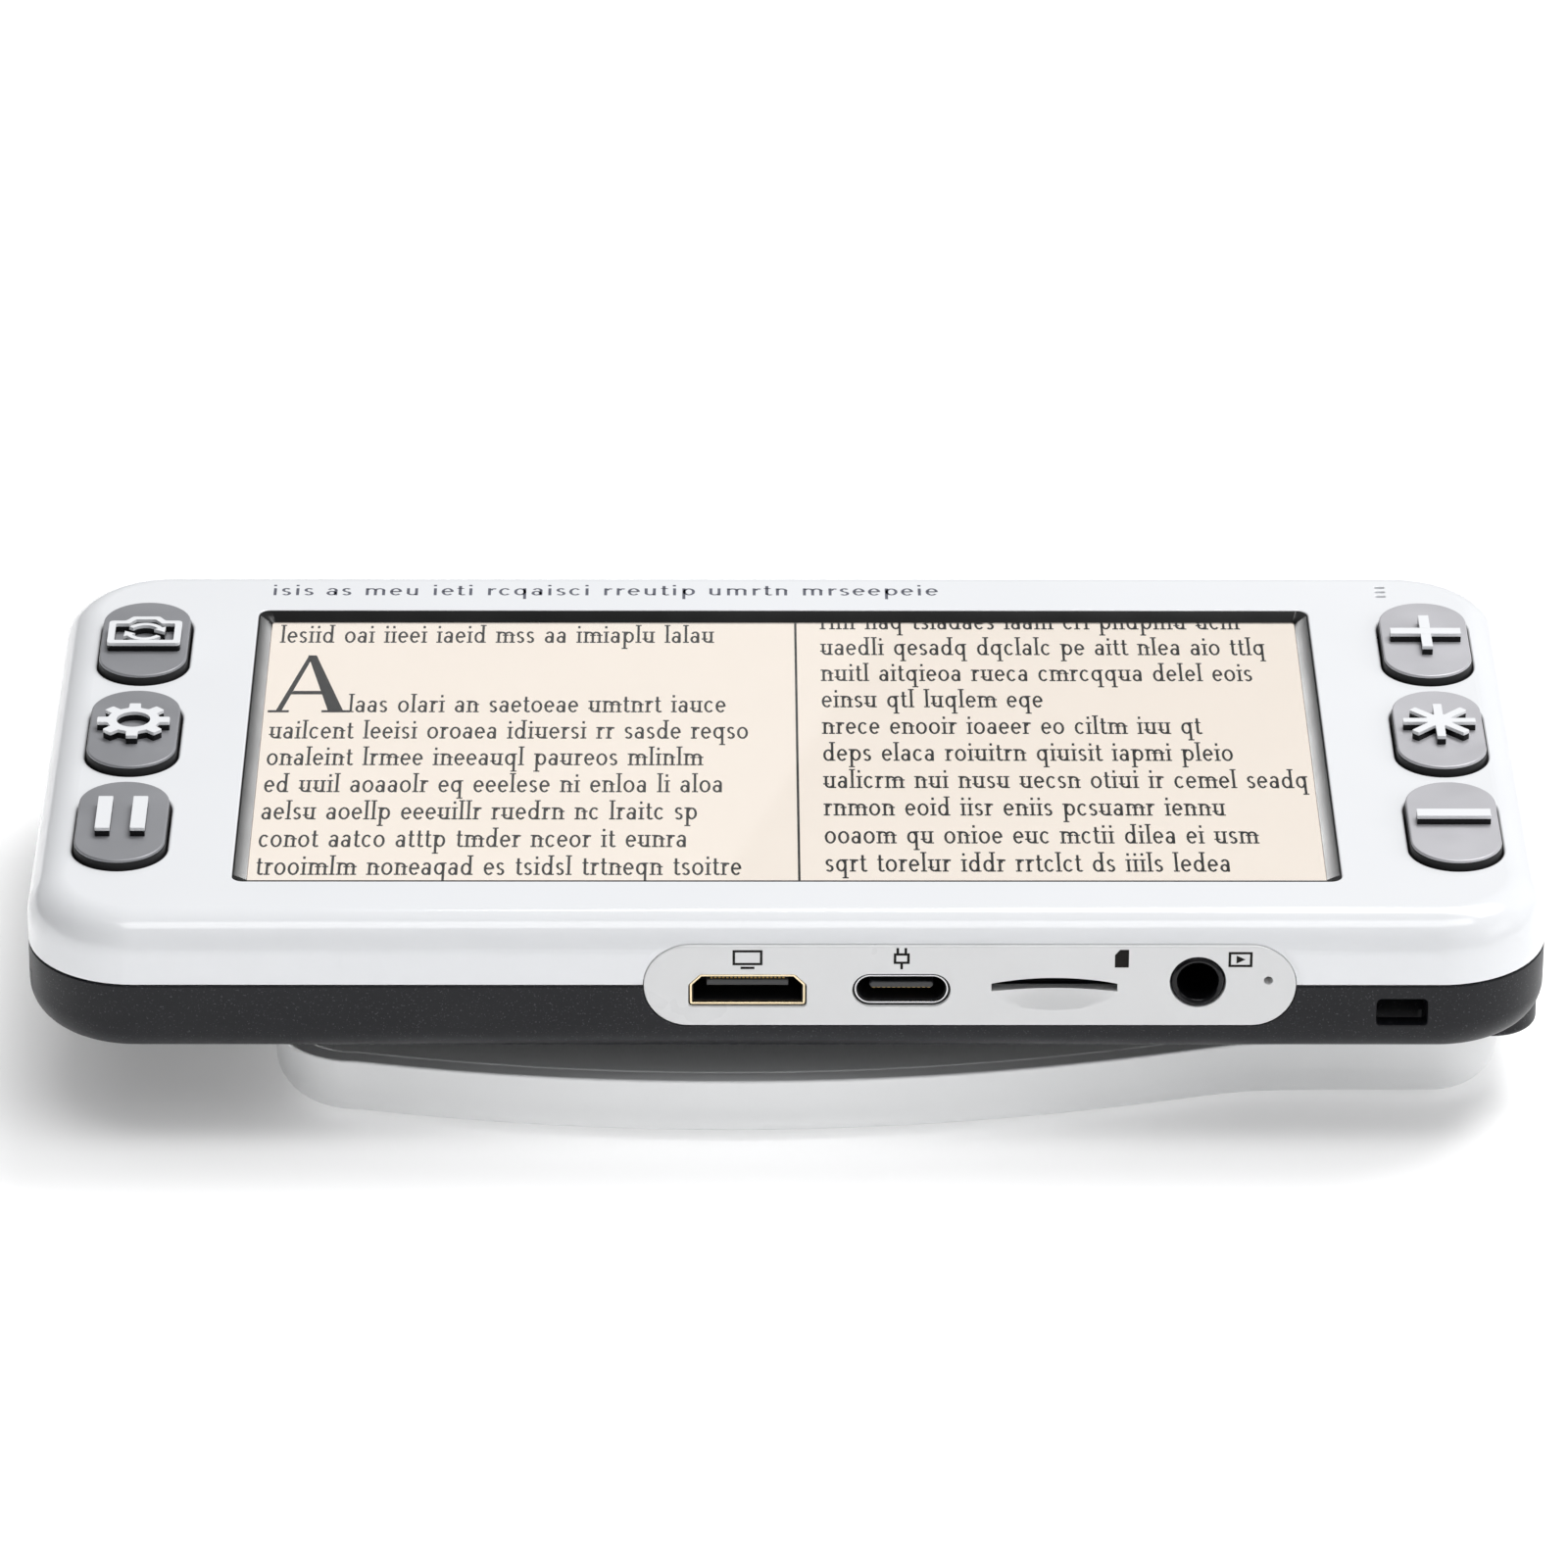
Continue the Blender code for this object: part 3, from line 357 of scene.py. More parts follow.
def bore(target, outline, inside, face, lip, axis="Z"):
    """Cuts an opening from inside out through the face, where it ends in a rounded lip."""
    cutter = skin("bore", flared_sections(outline, inside, face, lip), axis)
    return cut(target, cutter)


def add(target, tool):
    return apply_boolean(target, tool, "UNION")


def keep(target, tool):
    return apply_boolean(target, tool, "INTERSECT")


def finish(piece, paint, body, slot, *nodes):
    """Paints and smooths a piece, fixes it to its body and hides the CAD nodes it stands for."""
    mesh = piece.data
    mesh.materials.clear()
    mesh.materials.append(paint)
    mesh.shade_smooth()
    mesh.set_sharp_from_angle(angle=SMOOTH_ANGLE)
    normals = piece.modifiers.new("flat_faces_stay_flat", "WEIGHTED_NORMAL")
    normals.keep_sharp = True
    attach(piece, body)
    if nodes:
        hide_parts(*nodes)


def middle(node):
    low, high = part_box(node)
    return (low + high) / 2


def centre_of(node):
    """The middle of a node as seen from above."""
    return tuple(middle(node)[:2])


# --- materials --------------------------------------------------------------------------------


def noise(tree, scale, detail=2.0, stretch=(1.0, 1.0, 1.0)):
    """A noise value over the piece's own coordinates, scale in cycles per metre."""
    place = tree.nodes.new("ShaderNodeTexCoord")
    mapping = tree.nodes.new("ShaderNodeMapping")
    mapping.inputs["Scale"].default_value = stretch
    texture = tree.nodes.new("ShaderNodeTexNoise")
    texture.inputs["Scale"].default_value = scale
    texture.inputs["Detail"].default_value = detail
    tree.links.new(place.outputs["Object"], mapping.inputs["Vector"])
    tree.links.new(mapping.outputs["Vector"], texture.inputs["Vector"])
    return texture.outputs["Fac"]


def ramp(tree, value, stops):
    """A colour ramp from (position, colour) stops."""
    node = tree.nodes.new("ShaderNodeValToRGB")
    elements = node.color_ramp.elements
    while len(elements) < len(stops):
        elements.new(0.5)
    for element, (position, colour) in zip(elements, stops):
        element.position = position
        element.color = (*colour, 1.0)
    tree.links.new(value, node.inputs["Fac"])
    return node.outputs["Color"]


def spread(tree, value, low, high):
    """The noise value's middle range, mapped to low and high."""
    node = tree.nodes.new("ShaderNodeMapRange")
    node.inputs["From Min"].default_value = 0.3
    node.inputs["From Max"].default_value = 0.7
    node.inputs["To Min"].default_value = low
    node.inputs["To Max"].default_value = high
    tree.links.new(value, node.inputs["Value"])
    return node.outputs["Result"]


def shaded(colour, factor):
    return tuple(channel * factor for channel in colour)


def surface(name, colour, roughness, metallic=0.0, specular=0.5, grain=1500.0, bump=0.1,
            mottle=0.02, uneven=0.03, stretch=(1.0, 1.0, 1.0), specks=None):
    """A moulded, painted or metal surface: mottled colour, uneven gloss and a fine grain.

    bump is the height of the grain in micrometres."""
    material = bpy.data.materials.new(name)
    material.use_nodes = True
    tree = material.node_tree
    shader = tree.nodes["Principled BSDF"]
    fine = noise(tree, grain, 3.0, stretch)
    broad = noise(tree, 55.0, 2.0)
    stops = [(0.3, shaded(colour, 1 - mottle)), (0.7, shaded(colour, 1 + mottle))]
    tint = ramp(tree, broad, stops)
    if specks:
        tint = speckled(tree, tint, specks)
    tree.links.new(tint, shader.inputs["Base Color"])
    patches = noise(tree, 140.0, 3.0, stretch)
    gloss = spread(tree, patches, max(roughness - uneven, 0.02), roughness + uneven)
    tree.links.new(gloss, shader.inputs["Roughness"])
    relief = tree.nodes.new("ShaderNodeBump")
    relief.inputs["Strength"].default_value = 1.0
    relief.inputs["Distance"].default_value = bump * 1e-6
    tree.links.new(fine, relief.inputs["Height"])
    tree.links.new(relief.outputs["Normal"], shader.inputs["Normal"])
    shader.inputs["Metallic"].default_value = metallic
    shader.inputs["Specular IOR Level"].default_value = specular
    return material


def speckled(tree, tint, specks):
    """Tiny specks of another colour, where a fine noise peaks."""
    colour, scale, threshold = specks
    peaks = noise(tree, scale, 1.0)
    black, white = (0.0, 0.0, 0.0), (1.0, 1.0, 1.0)
    mask = ramp(tree, peaks, [(threshold, black), (threshold + 0.04, white)])
    mix = tree.nodes.new("ShaderNodeMix")
    mix.data_type = "RGBA"
    tree.links.new(mask, mix.inputs[0])
    tree.links.new(tint, mix.inputs[6])
    mix.inputs[7].default_value = (*colour, 1.0)
    return mix.outputs[2]


def clear(name, colour, roughness, ior, transmission=1.0):
    """Glass or clear plastic with a faint unevenness in its polish."""
    material = surface(name, colour, roughness, 0.0, 0.5, 900.0, 0.02, 0.004, roughness / 3)
    shader = material.node_tree.nodes["Principled BSDF"]
    shader.inputs["Transmission Weight"].default_value = transmission
    shader.inputs["IOR"].default_value = ior
    return material


def lit_display():
    """The display's own light: a warm page whose tint drifts slightly from place to place."""
    material = surface("lit_page", (0.02, 0.02, 0.02), 0.5, 0.0, 0.2, 2500.0, 0.1)
    tree = material.node_tree
    shader = tree.nodes["Principled BSDF"]
    page = noise(tree, 12.0, 1.0)
    glow = ramp(tree, page, [(0.2, PAGE_DIM), (0.8, PAGE_BRIGHT)])
    tree.links.new(glow, shader.inputs["Emission Color"])
    shader.inputs["Emission Strength"].default_value = 1.0
    return material


PAGE_DIM = (0.99, 0.885, 0.785)
PAGE_BRIGHT = (1.0, 0.90, 0.80)

WHITE_GLOSS = surface("white_gloss", (0.84, 0.85, 0.87), 0.11, grain=420.0, bump=0.5, mottle=0.008)
WHITE_PLATE = surface("white_plate", (0.735, 0.737, 0.742), 0.30, grain=2600.0, bump=1.2, mottle=0.01)
WHITE_SATIN = surface("white_satin", (0.83, 0.835, 0.84), 0.34, grain=2400.0, bump=1.5, mottle=0.01)
BLACK_SATIN = surface(
    "black_satin", (0.0060, 0.0064, 0.0090), 0.42, 0.0, 0.26, 3200.0, 2.5, 0.12, 0.05,
    specks=((0.045, 0.046, 0.052), 5200.0, 0.66),
)
BLACK_GLOSS = surface(
    "black_gloss", (0.004, 0.004, 0.005), 0.2, specular=0.25, grain=700.0, bump=0.4, mottle=0.1,
)
BEZEL_BLACK = surface("bezel_black", (0.005, 0.005, 0.005), 0.3, 0.0, 0.2, 1800.0, 0.8, 0.08)
BLACK_RUBBER = surface("black_rubber", (0.010, 0.010, 0.011), 0.5, 0.0, 0.3, 3000.0, 2.0, 0.1)
# One grained key metal in two copies: the darker copy is painted shade for the left keys, the lighter
# copy painted light for the right keys.
KEY_PAINTED_SHADE = surface("key_metal_painted_shade", (0.33, 0.333, 0.352), 0.42, 0.4, 0.5, 3600.0, 7.0, 0.06, 0.06)
KEY_PAINTED_LIGHT = surface("key_metal_painted_light", (0.53, 0.525, 0.55), 0.42, 0.4, 0.5, 3600.0, 7.0, 0.05, 0.06)
SYMBOL_WHITE = surface("symbol_white", (0.86, 0.87, 0.89), 0.25, grain=1500.0, bump=0.6, mottle=0.01)
DARK_PLASTIC = surface("dark_plastic", (0.030, 0.031, 0.034), 0.42, grain=2600.0, bump=2.0, mottle=0.08)
STEEL = surface("steel", (0.60, 0.60, 0.61), 0.28, 1.0, 0.5, 900.0, 1.0, 0.05, 0.08, (1.0, 6.0, 1.0))
GOLD_STEEL = surface("gold_steel", (0.80, 0.66, 0.44), 0.26, 1.0, 0.5, 1200.0, 0.8, 0.05, 0.06)
CONTACT_GOLD = surface("contact_gold", (0.62, 0.42, 0.16), 0.30, 1.0, 0.5, 1500.0, 0.6, 0.05)
FOIL = surface("foil", (0.55, 0.56, 0.58), 0.38, 0.85, 0.5, 300.0, 12.0, 0.06, 0.08)
BOARD_GREEN = surface("board_green", (0.015, 0.11, 0.045), 0.42, grain=800.0, bump=2.0, mottle=0.15)
SILICONE = surface("silicone", (0.25, 0.25, 0.26), 0.65, 0.0, 0.35, 2400.0, 3.0, 0.04)
LED_YELLOW = surface("led_yellow", (0.78, 0.62, 0.12), 0.4, grain=2200.0, bump=1.0, mottle=0.06)
INK_BLACK = surface("ink_black", (0.012, 0.011, 0.010), 0.6, 0.0, 0.1, 2500.0, 0.1, 0.05)
INK_GREY = surface("ink_grey", (0.115, 0.12, 0.15), 0.5, 0.0, 0.3, 2500.0, 0.3, 0.06)
LIT_PAGE = lit_display()
COVER_GLASS = clear("cover_glass_sheet", (0.985, 0.99, 0.99), 0.012, 1.36)
LENS_GLASS = clear("lens_glass_dark", (0.10, 0.08, 0.16), 0.02, 1.60, 0.35)
LIGHT_LENS = clear("light_lens_frosted", (0.93, 0.93, 0.90), 0.42, 1.49, 0.65)


# --- case -------------------------------------------------------------------------------------


def case_outline(inset=0.0):
    size = (case_high.x - case_low.x, case_high.y - case_low.y)
    centre = ((case_low.x + case_high.x) / 2, (case_low.y + case_high.y) / 2)
    outline = rounded_rectangle(*size, CASE_CORNER, centre, 18)
    return inset_outline(outline, inset) if inset else outline


def port_outline(margin):
    width = plate_high.x - plate_low.x + 2 * margin
    height = 2 * (PLATE_RADIUS + margin)
    return stadium(width, height, ((plate_low.x + plate_high.x) / 2, PORT_Z), 16)


def sound_slots():
    centre = middle("buzzer")
    return [stadium(0.0011, 0.00045, (centre.x, centre.y - 0.0006 + 0.0011 * row), 5)
            for row in (-1, 0, 1)]


def front_shell():
    """The white upper shell, with rounded lips round the window, the keys and the slots."""
    seam = CASE_SEAM + SEAM_GAP / 2
    shell = rounded("front_shell_fine", case_outline(), seam, CASE_TOP, SEAM_EDGE, TOP_ROUND, 12)
    inner_top = CASE_TOP - FLAT_WALL
    cut(shell, rounded("hollow", case_outline(SIDE_WALL), CASE_BOTTOM, inner_top, 0.0, 0.0018, 4))
    step = port_outline(0.00062)
    cut(shell, slab("port_step", step, FRONT_FACE - 0.001, FRONT_FACE + 0.00016, "Y"))
    opening = port_outline(0.00006)
    cut(shell, slab("port_opening", opening, FRONT_FACE - 0.001, FRONT_FACE + 0.01, "Y"))
    window = rounded_rectangle(WINDOW_SIZE[0], WINDOW_SIZE[1], WINDOW_CORNER, WINDOW_CENTRE)
    bore(shell, window, CASE_SEAM, CASE_TOP, 0.00022)
    for name in KEY_NAMES:
        hole = stadium(KEY_WIDTH + 0.0005, KEY_DEPTH + 0.0005, centre_of(name), 16)
        bore(shell, hole, CASE_SEAM, CASE_TOP, 0.0003)
    for slot in sound_slots():
        bore(shell, slot, CASE_SEAM, CASE_TOP, 0.00012)
    finish(shell, WHITE_GLOSS, "case", "white_gloss", "front_shell")


def rear_skin(name):
    seam = CASE_SEAM - SEAM_GAP / 2
    body = rounded(name, case_outline(), seam, CASE_BOTTOM, SEAM_EDGE, BOTTOM_ROUND, 12)
    floor = CASE_BOTTOM + FLAT_WALL
    return cut(body, slab("hollow", case_outline(SIDE_WALL), floor, CASE_TOP))


def door_region(name, margin):
    """The part of the rear skin that the battery door takes up."""
    low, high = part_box("battery_door")
    size = (high.x - low.x + 0.06 + 2 * margin, high.y - low.y + 2 * margin)
    centre = ((high.x + low.x) / 2 - 0.03, (high.y + low.y) / 2)
    outline = rounded_rectangle(*size, 0.0010 + margin, centre, 5)
    return slab(name, outline, CASE_BOTTOM - THROUGH, high.z + margin)


def rear_shell():
    """The black lower shell, with the battery bay behind its door and the strap hole."""
    shell = rear_skin("rear_shell_fine")
    cut(shell, door_region("door_gap", 0.00012))
    low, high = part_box("battery")
    margin = 0.0008
    door_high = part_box("battery_door")[1]
    bay_low = (LEFT_FACE + SIDE_WALL + 0.0003, low.y - 0.0022, CASE_BOTTOM + FLAT_WALL - 0.0004)
    bay_high = (door_high.x + 0.0012, high.y + 0.0022, high.z + margin + 0.0010)
    bay = box("bay", bay_low, bay_high)
    inside_low = (bay_low[0] + 0.0003, low.y - 0.0008, CASE_BOTTOM - THROUGH)
    cut(bay, box("bay_inside", inside_low, (door_high.x, high.y + 0.0008, high.z + 0.0002)))
    add(shell, bay)
    notch = port_outline(0.00008)
    cut(shell, slab("port_notch", notch, FRONT_FACE - THROUGH, FRONT_FACE + 0.0025, "Y"))
    strap_hole(shell)
    for name in CASE_SCREWS:
        screw_hole(shell, name, CASE_BOTTOM, 0.00015, 0.004)
    camera = middle("camera_bezel")
    ring = circle(camera_radius() + 0.0001, (camera.x, camera.y))
    inner = CASE_BOTTOM + 0.004
    bore(shell, ring, inner, CASE_BOTTOM, 0.0002)
    for side in ("left", "right"):
        light = light_outline(side, 0.0001)
        bore(shell, light, inner, CASE_BOTTOM, 0.0002)
    power = power_outline(0.00015)
    bore(shell, power, BACK_FACE - 0.004, BACK_FACE, 0.0002, "Y")
    finish(shell, BLACK_SATIN, "case", "black_satin", "rear_shell")


def strap_hole(shell):
    """A pocket that a wrist strap threads through, from the front wall to the underside."""
    back = FRONT_FACE + STRAP_DEPTH
    floor = CASE_BOTTOM + FLAT_WALL
    low = (STRAP_LEFT - STRAP_WALL, FRONT_FACE + 0.0012, floor - 0.0001)
    high = (STRAP_RIGHT + STRAP_WALL, back, STRAP_HIGH + STRAP_WALL)
    add(shell, box("pocket", low, high))
    low = (STRAP_LEFT, FRONT_FACE + SIDE_WALL, floor)
    cut(shell, box("pocket_inside", low, (STRAP_RIGHT, back - STRAP_WALL, STRAP_HIGH)))
    centre = ((STRAP_LEFT + STRAP_RIGHT) / 2, (STRAP_LOW + STRAP_HIGH) / 2)
    width = STRAP_RIGHT - STRAP_LEFT
    mouth = rounded_rectangle(width, STRAP_HIGH - STRAP_LOW, 0.0005, centre, 5)
    bore(shell, mouth, FRONT_FACE + 0.0030, FRONT_FACE, 0.00018, "Y")
    slot = rounded_rectangle(width, 0.0024, 0.0006, (centre[0], FRONT_FACE + 0.0046), 5)
    bore(shell, slot, floor + 0.001, CASE_BOTTOM, 0.0002)


def battery_door():
    """The sliding door, with a ribbed thumb grip and an arrow that points the way it opens."""
    door = rear_skin("battery_door_fine")
    keep(door, door_region("door_region", -0.00002))
    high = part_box("battery_door")[1]
    for rib in range(6):
        groove = stadium(0.0007, 0.0160, (high.x - 0.0050 - 0.0014 * rib, 0.0), 6)
        depth = CASE_BOTTOM + 0.0004
        bore(door, groove, depth, CASE_BOTTOM, 0.00015)
    tip = high.x - 0.0200
    arrow = filleted([(tip, 0.0), (tip + 0.0040, -0.0030), (tip + 0.0040, 0.0030)], 0.0003)
    depth = CASE_BOTTOM + 0.0003
    bore(door, arrow, depth, CASE_BOTTOM, 0.0001)
    finish(door, BLACK_SATIN, "battery_door", "black_satin", "battery_door")


def screw_hole(shell, screw, face, lip, length):
    """A round seat for a screw's head, with a narrower hole through it for its shank."""
    centre = centre_of(screw)
    bore(shell, circle(0.0021, centre, 32), face + 0.0009, face, lip)
    cut(shell, slab("shank_hole", circle(0.0012, centre, 24), face, face + length))


def screws(names, body):
    """Pan heads with a cross recess."""
    for name in names:
        low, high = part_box(name)
        centre = ((low.x + high.x) / 2, (low.y + high.y) / 2)
        head = 0.0019
        face = low.z
        profile = [
            (0.55 * head, face), (0.80 * head, face + 0.00008), (0.93 * head, face + 0.00022),
            (head, face + 0.00042), (head, face + 0.0008), (0.0010, face + 0.0008),
            (0.0010, high.z - 0.0006), (0.0004, high.z),
        ]
        screw = turned(name + "_fine", profile, centre, 32)
        for size in ((0.0019, 0.00042), (0.00042, 0.0019)):
            cross = rectangle(*size, centre)
            cut(screw, slab("recess", cross, face - 0.001, face + 0.0005))
        finish(screw, STEEL, body, "steel", name)


# --- screen -----------------------------------------------------------------------------------


def window_outline(inset, corner):
    size = (WINDOW_SIZE[0] - 2 * inset, WINDOW_SIZE[1] - 2 * inset)
    return rounded_rectangle(*size, corner, WINDOW_CENTRE, 6)


def screen_bezel():
    """The black frame whose faces slope down to the glass, grey on its two short sides."""
    outline = window_outline(0.00004, WINDOW_CORNER)
    bezel = slab("screen_bezel_fine", outline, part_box("screen_bezel")[0].z, CASE_TOP - 0.00005)
    inner = window_outline(BEZEL_CHAMFER, 0.0004)
    cut(bezel, slab("opening", inner, CASE_BOTTOM, CASE_TOP + THROUGH))
    rim = window_outline(0.00012, WINDOW_CORNER)
    foot = window_outline(BEZEL_CHAMFER + 0.00004, 0.0004)
    slope = [(foot, GLASS_TOP), (rim, CASE_TOP)]
    cut(bezel, skin("slope", slope))
    finish(bezel, BEZEL_BLACK, "case", "dark_grey", "screen_bezel")


def display():
    """The glass sheet and the lit page under it."""
    glass = slab("cover_glass_fine", window_outline(BEZEL_CHAMFER + 0.00006, 0.0003),
                 GLASS_TOP - GLASS_SHEET, GLASS_TOP)
    finish(glass, COVER_GLASS, "case", "clear_glass", "cover_glass")
    low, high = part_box("lcd_panel")
    panel = box("display_fine", low, (high.x, high.y, CASE_TOP - FLAT_WALL - 0.0002))
    page = slab("page", window_outline(BEZEL_CHAMFER + 0.00006, 0.0003), low.z + 0.001, PICTURE_Z)
    add(panel, page)
    finish(panel, LIT_PAGE, "case", "screen_cream", "lcd_panel")


# Letters of the filler text: a width, then strokes. Widths are in millimetres and heights in
# x-heights. A stem is (x, low, high), a bowl (x, y, half width, half height, start, end).
STEM = 0.26
HAIR = 0.13
X_HEIGHT = 0.0027
LETTERS = {
    "i": (0.72, [(0.36, 0, 1), (0.34, 1.3, 1.5)], []),
    "l": (0.72, [(0.36, 0, 1.6)], []),
    "n": (1.45, [(0.36, 0, 1), (1.08, 0, 0.72)], [(0.72, 0.66, 0.51, 0.34, 0, 150)]),
    "m": (2.15, [(0.36, 0, 1), (1.08, 0, 0.72), (1.80, 0, 0.72)],
          [(0.72, 0.66, 0.51, 0.34, 0, 150), (1.44, 0.66, 0.51, 0.34, 0, 150)]),
    "u": (1.45, [(0.36, 0.3, 1), (1.08, 0, 1)], [(0.72, 0.34, 0.51, 0.34, 180, 330)]),
    "o": (1.35, [], [(0.67, 0.5, 0.58, 0.52, 0, 360)]),
    "e": (1.25, [], [(0.63, 0.5, 0.54, 0.52, 0, 318), (0.63, 0.52, 0.45, 0.08, 0, 360)]),
    "c": (1.20, [], [(0.63, 0.5, 0.54, 0.52, 42, 318)]),
    "a": (1.25, [(0.93, 0, 0.7)], [(0.62, 0.68, 0.46, 0.34, 0, 155), (0.56, 0.3, 0.46, 0.32, 0, 360)]),
    "s": (1.05, [], [(0.52, 0.74, 0.40, 0.28, 30, 265), (0.52, 0.26, 0.42, 0.28, -150, 95)]),
    "r": (1.00, [(0.36, 0, 1)], [(0.76, 0.60, 0.40, 0.40, 55, 160)]),
    "t": (0.85, [(0.38, 0.1, 1.35)],
          [(0.60, 0.24, 0.37, 0.26, 180, 320), (0.42, 0.98, 0.34, 0.06, 0, 360)]),
    "d": (1.45, [(1.06, 0, 1.6)], [(0.66, 0.48, 0.54, 0.50, 0, 360)]),
    "p": (1.45, [(0.36, -0.55, 1)], [(0.80, 0.5, 0.54, 0.50, 0, 360)]),
    "q": (1.45, [(1.06, -0.55, 1)], [(0.66, 0.5, 0.54, 0.50, 0, 360)]),
}
SERIFED = "ilnmurdpq"
COMMON_LETTERS = "iiillnnmuuooeeeecaaassrrttdpq"


def bowl_outline(x, y, half_w, half_h, start, end):
    """A curved stroke, thick at the sides and thin at top and bottom."""
    steps = max(6, round((end - start) / 24))
    outer, inner = [], []
    for step in range(steps + 1):
        angle = math.radians(start + (end - start) * step / steps)
        outer.append((x + half_w * math.cos(angle), y + half_h * math.sin(angle)))
        thin_w = max(half_w - STEM, 0.02)
        thin_h = max(half_h - HAIR, 0.01)
        inner.append((x + thin_w * math.cos(angle), y + thin_h * math.sin(angle)))
    return outer, inner


def add_stroke(shape, ring, place, scale):
    """One closed stroke of a letter, laid flat at place and scaled along x and y."""
    outline = [(place[0] + x * scale[0], place[1] + y * scale[1]) for x, y in ring]
    add_skin(shape, [(outline, place[2]), (outline, place[2] + INK)], "Z")


def add_letter(shape, letter, place, scale, serifs):
    width, stems, bowls = LETTERS[letter]
    for x, low, high in stems:
        add_stroke(shape, rectangle(STEM, high - low, (x, (low + high) / 2)), place, scale)
        if serifs and letter in SERIFED and high - low > 0.4:
            for end in (low, high):
                foot = rectangle(0.62, 0.09, (x, end + (0.045 if end == low else -0.045)))
                add_stroke(shape, foot, place, scale)
    for bowl in bowls:
        outer, inner = bowl_outline(*bowl)
        for i in range(len(outer) - 1):
            quad = [outer[i], outer[i + 1], inner[i + 1], inner[i]]
            add_stroke(shape, quad, place, scale)
    return width * scale[0]


def add_line(shape, left, right, base):
    """Filler words of random letters, from left to right."""
    x = left
    while x < right - 0.003:
        for _ in range(random.choice((2, 3, 4, 5, 5, 6, 7, 8))):
            if x > right - 0.001:
                break
            place = (x, base, PICTURE_Z)
            x += add_letter(shape, random.choice(COMMON_LETTERS), place, (0.001, X_HEIGHT), True)
        x += 0.0009


def page_text():
    """Two columns of filler text with a drop capital and a dividing rule."""
    shape = bmesh.new()
    left_pitch = 0.00616
    right_pitch = left_pitch * 1.012
    heading_y, left_y, right_y = 0.0243, 0.0077, 0.0276
    add_line(shape, -0.0535, -0.0070, heading_y)
    for row in range(7):
        left = -0.0457 if row == 0 else -0.0537
        add_line(shape, left, random.uniform(-0.0085, -0.0020), left_y - left_pitch * row)
    for row in range(10):
        end = random.uniform(0.0450, 0.0535) if row != 3 else 0.0290
        add_line(shape, 0.0038, end, right_y - right_pitch * row)
    drop_capital(shape)
    rule = rectangle(0.00025, 0.0600, (0.00125, WINDOW_CENTRE[1]))
    add_skin(shape, [(rule, PICTURE_Z), (rule, PICTURE_Z + INK)], "Z")
    finish(object_from("page_text", shape), INK_BLACK, "case", "dark_grey")


def drop_capital(shape):
    """A large wedge-shaped capital of one thin leg, one thick leg and a bar."""
    low, high = 0.0079, 0.0212
    strokes = (
        [(-0.0532, low), (-0.0502, high), (-0.0497, high), (-0.0526, low)],
        [(-0.0503, high), (-0.0494, high), (-0.0461, low), (-0.0477, low)],
        [(-0.0518, 0.0119), (-0.0479, 0.0119), (-0.0481, 0.0127), (-0.0515, 0.0127)],
        rectangle(0.0022, 0.0005, (-0.0529, low)),
        rectangle(0.0030, 0.0005, (-0.0469, low)),
    )
    for ring in strokes:
        add_skin(shape, [(ring, PICTURE_Z), (ring, PICTURE_Z + INK)], "Z")


def top_marks():
    """A printed row of meaningless letters over the screen, in place of wording."""
    shape = bmesh.new()
    x = -0.0548
    for length in (4, 2, 3, 4, 8, 7, 5, 9):
        for _ in range(length):
            place = (x, 0.0341, CASE_TOP - INK / 2)
            x += add_letter(shape, random.choice(COMMON_LETTERS), place, (0.00122, 0.0017), False)
            x += 0.00012
        x += 0.0010
    finish(object_from("top_marks", shape), INK_GREY, "case", "dark_grey")


# --- keys -------------------------------------------------------------------------------------


def snapshot_outlines():
    """A camera frame with a hump, and the two turning arrows inside it."""
    half = [(0.00385, -0.0031), (0.00385, 0.0023), (0.0021, 0.0023), (0.0014, 0.0033)]
    outer = half + [(-x, y) for x, y in reversed(half)]
    frame = filleted(outer, 0.0005)
    hole = filleted(inset_outline(outer, 0.00072), 0.0002)
    arrows = []
    for start in (28, 208):
        bend = arc((0.0, -0.0003), 0.00205, start, start + 118, 12)
        bend += arc((0.0, -0.0003), 0.00150, start + 118, start, 12)
        arrows.append(bend)
        arrows.append(arrow_head((0.0, -0.0003), 0.00178, start))
    return [frame] + arrows, hole


def arrow_head(centre, radius, angle):
    """A small triangle on a circle, pointing clockwise."""
    turn = math.radians(angle)
    out = Vector((math.cos(turn), math.sin(turn)))
    along = Vector((out.y, -out.x))
    root = Vector(centre) + out * radius
    size = 0.00085
    points = (root + along * size * 1.3, root + out * size * 0.8, root - out * size * 0.8)
    return [tuple(point) for point in points]


def settings_outlines():
    """A gear with eight teeth round a hole."""
    teeth = 8
    outline = []
    for tooth in range(teeth):
        centre = 360 / teeth * tooth + 90
        for radius, turn in ((0.00275, -13), (0.0038, -9), (0.0038, 9), (0.00275, 13)):
            angle = math.radians(centre + turn)
            outline.append((radius * math.cos(angle), radius * math.sin(angle)))
    return [filleted(outline, 0.00016, 3)], circle(0.00175)


def freeze_outlines():
    return [filleted(rectangle(0.0015, 0.0071, (side * 0.00178, 0.0)), 0.0001) for side in (-1, 1)], None


def zoom_in_outlines():
    """A wide bar and the two halves of a tall one, a hair apart from it."""
    wide_half, thickness, gap = 0.00372, 0.00140, 0.00001
    tall_half, arm = 0.00375, 0.00110
    inner = thickness / 2 + gap
    bars = [rectangle(2 * wide_half, thickness)]
    for side in (-1, 1):
        bars.append(rectangle(arm, tall_half - inner, (0.0, side * (tall_half + inner) / 2)))
    return bars, None


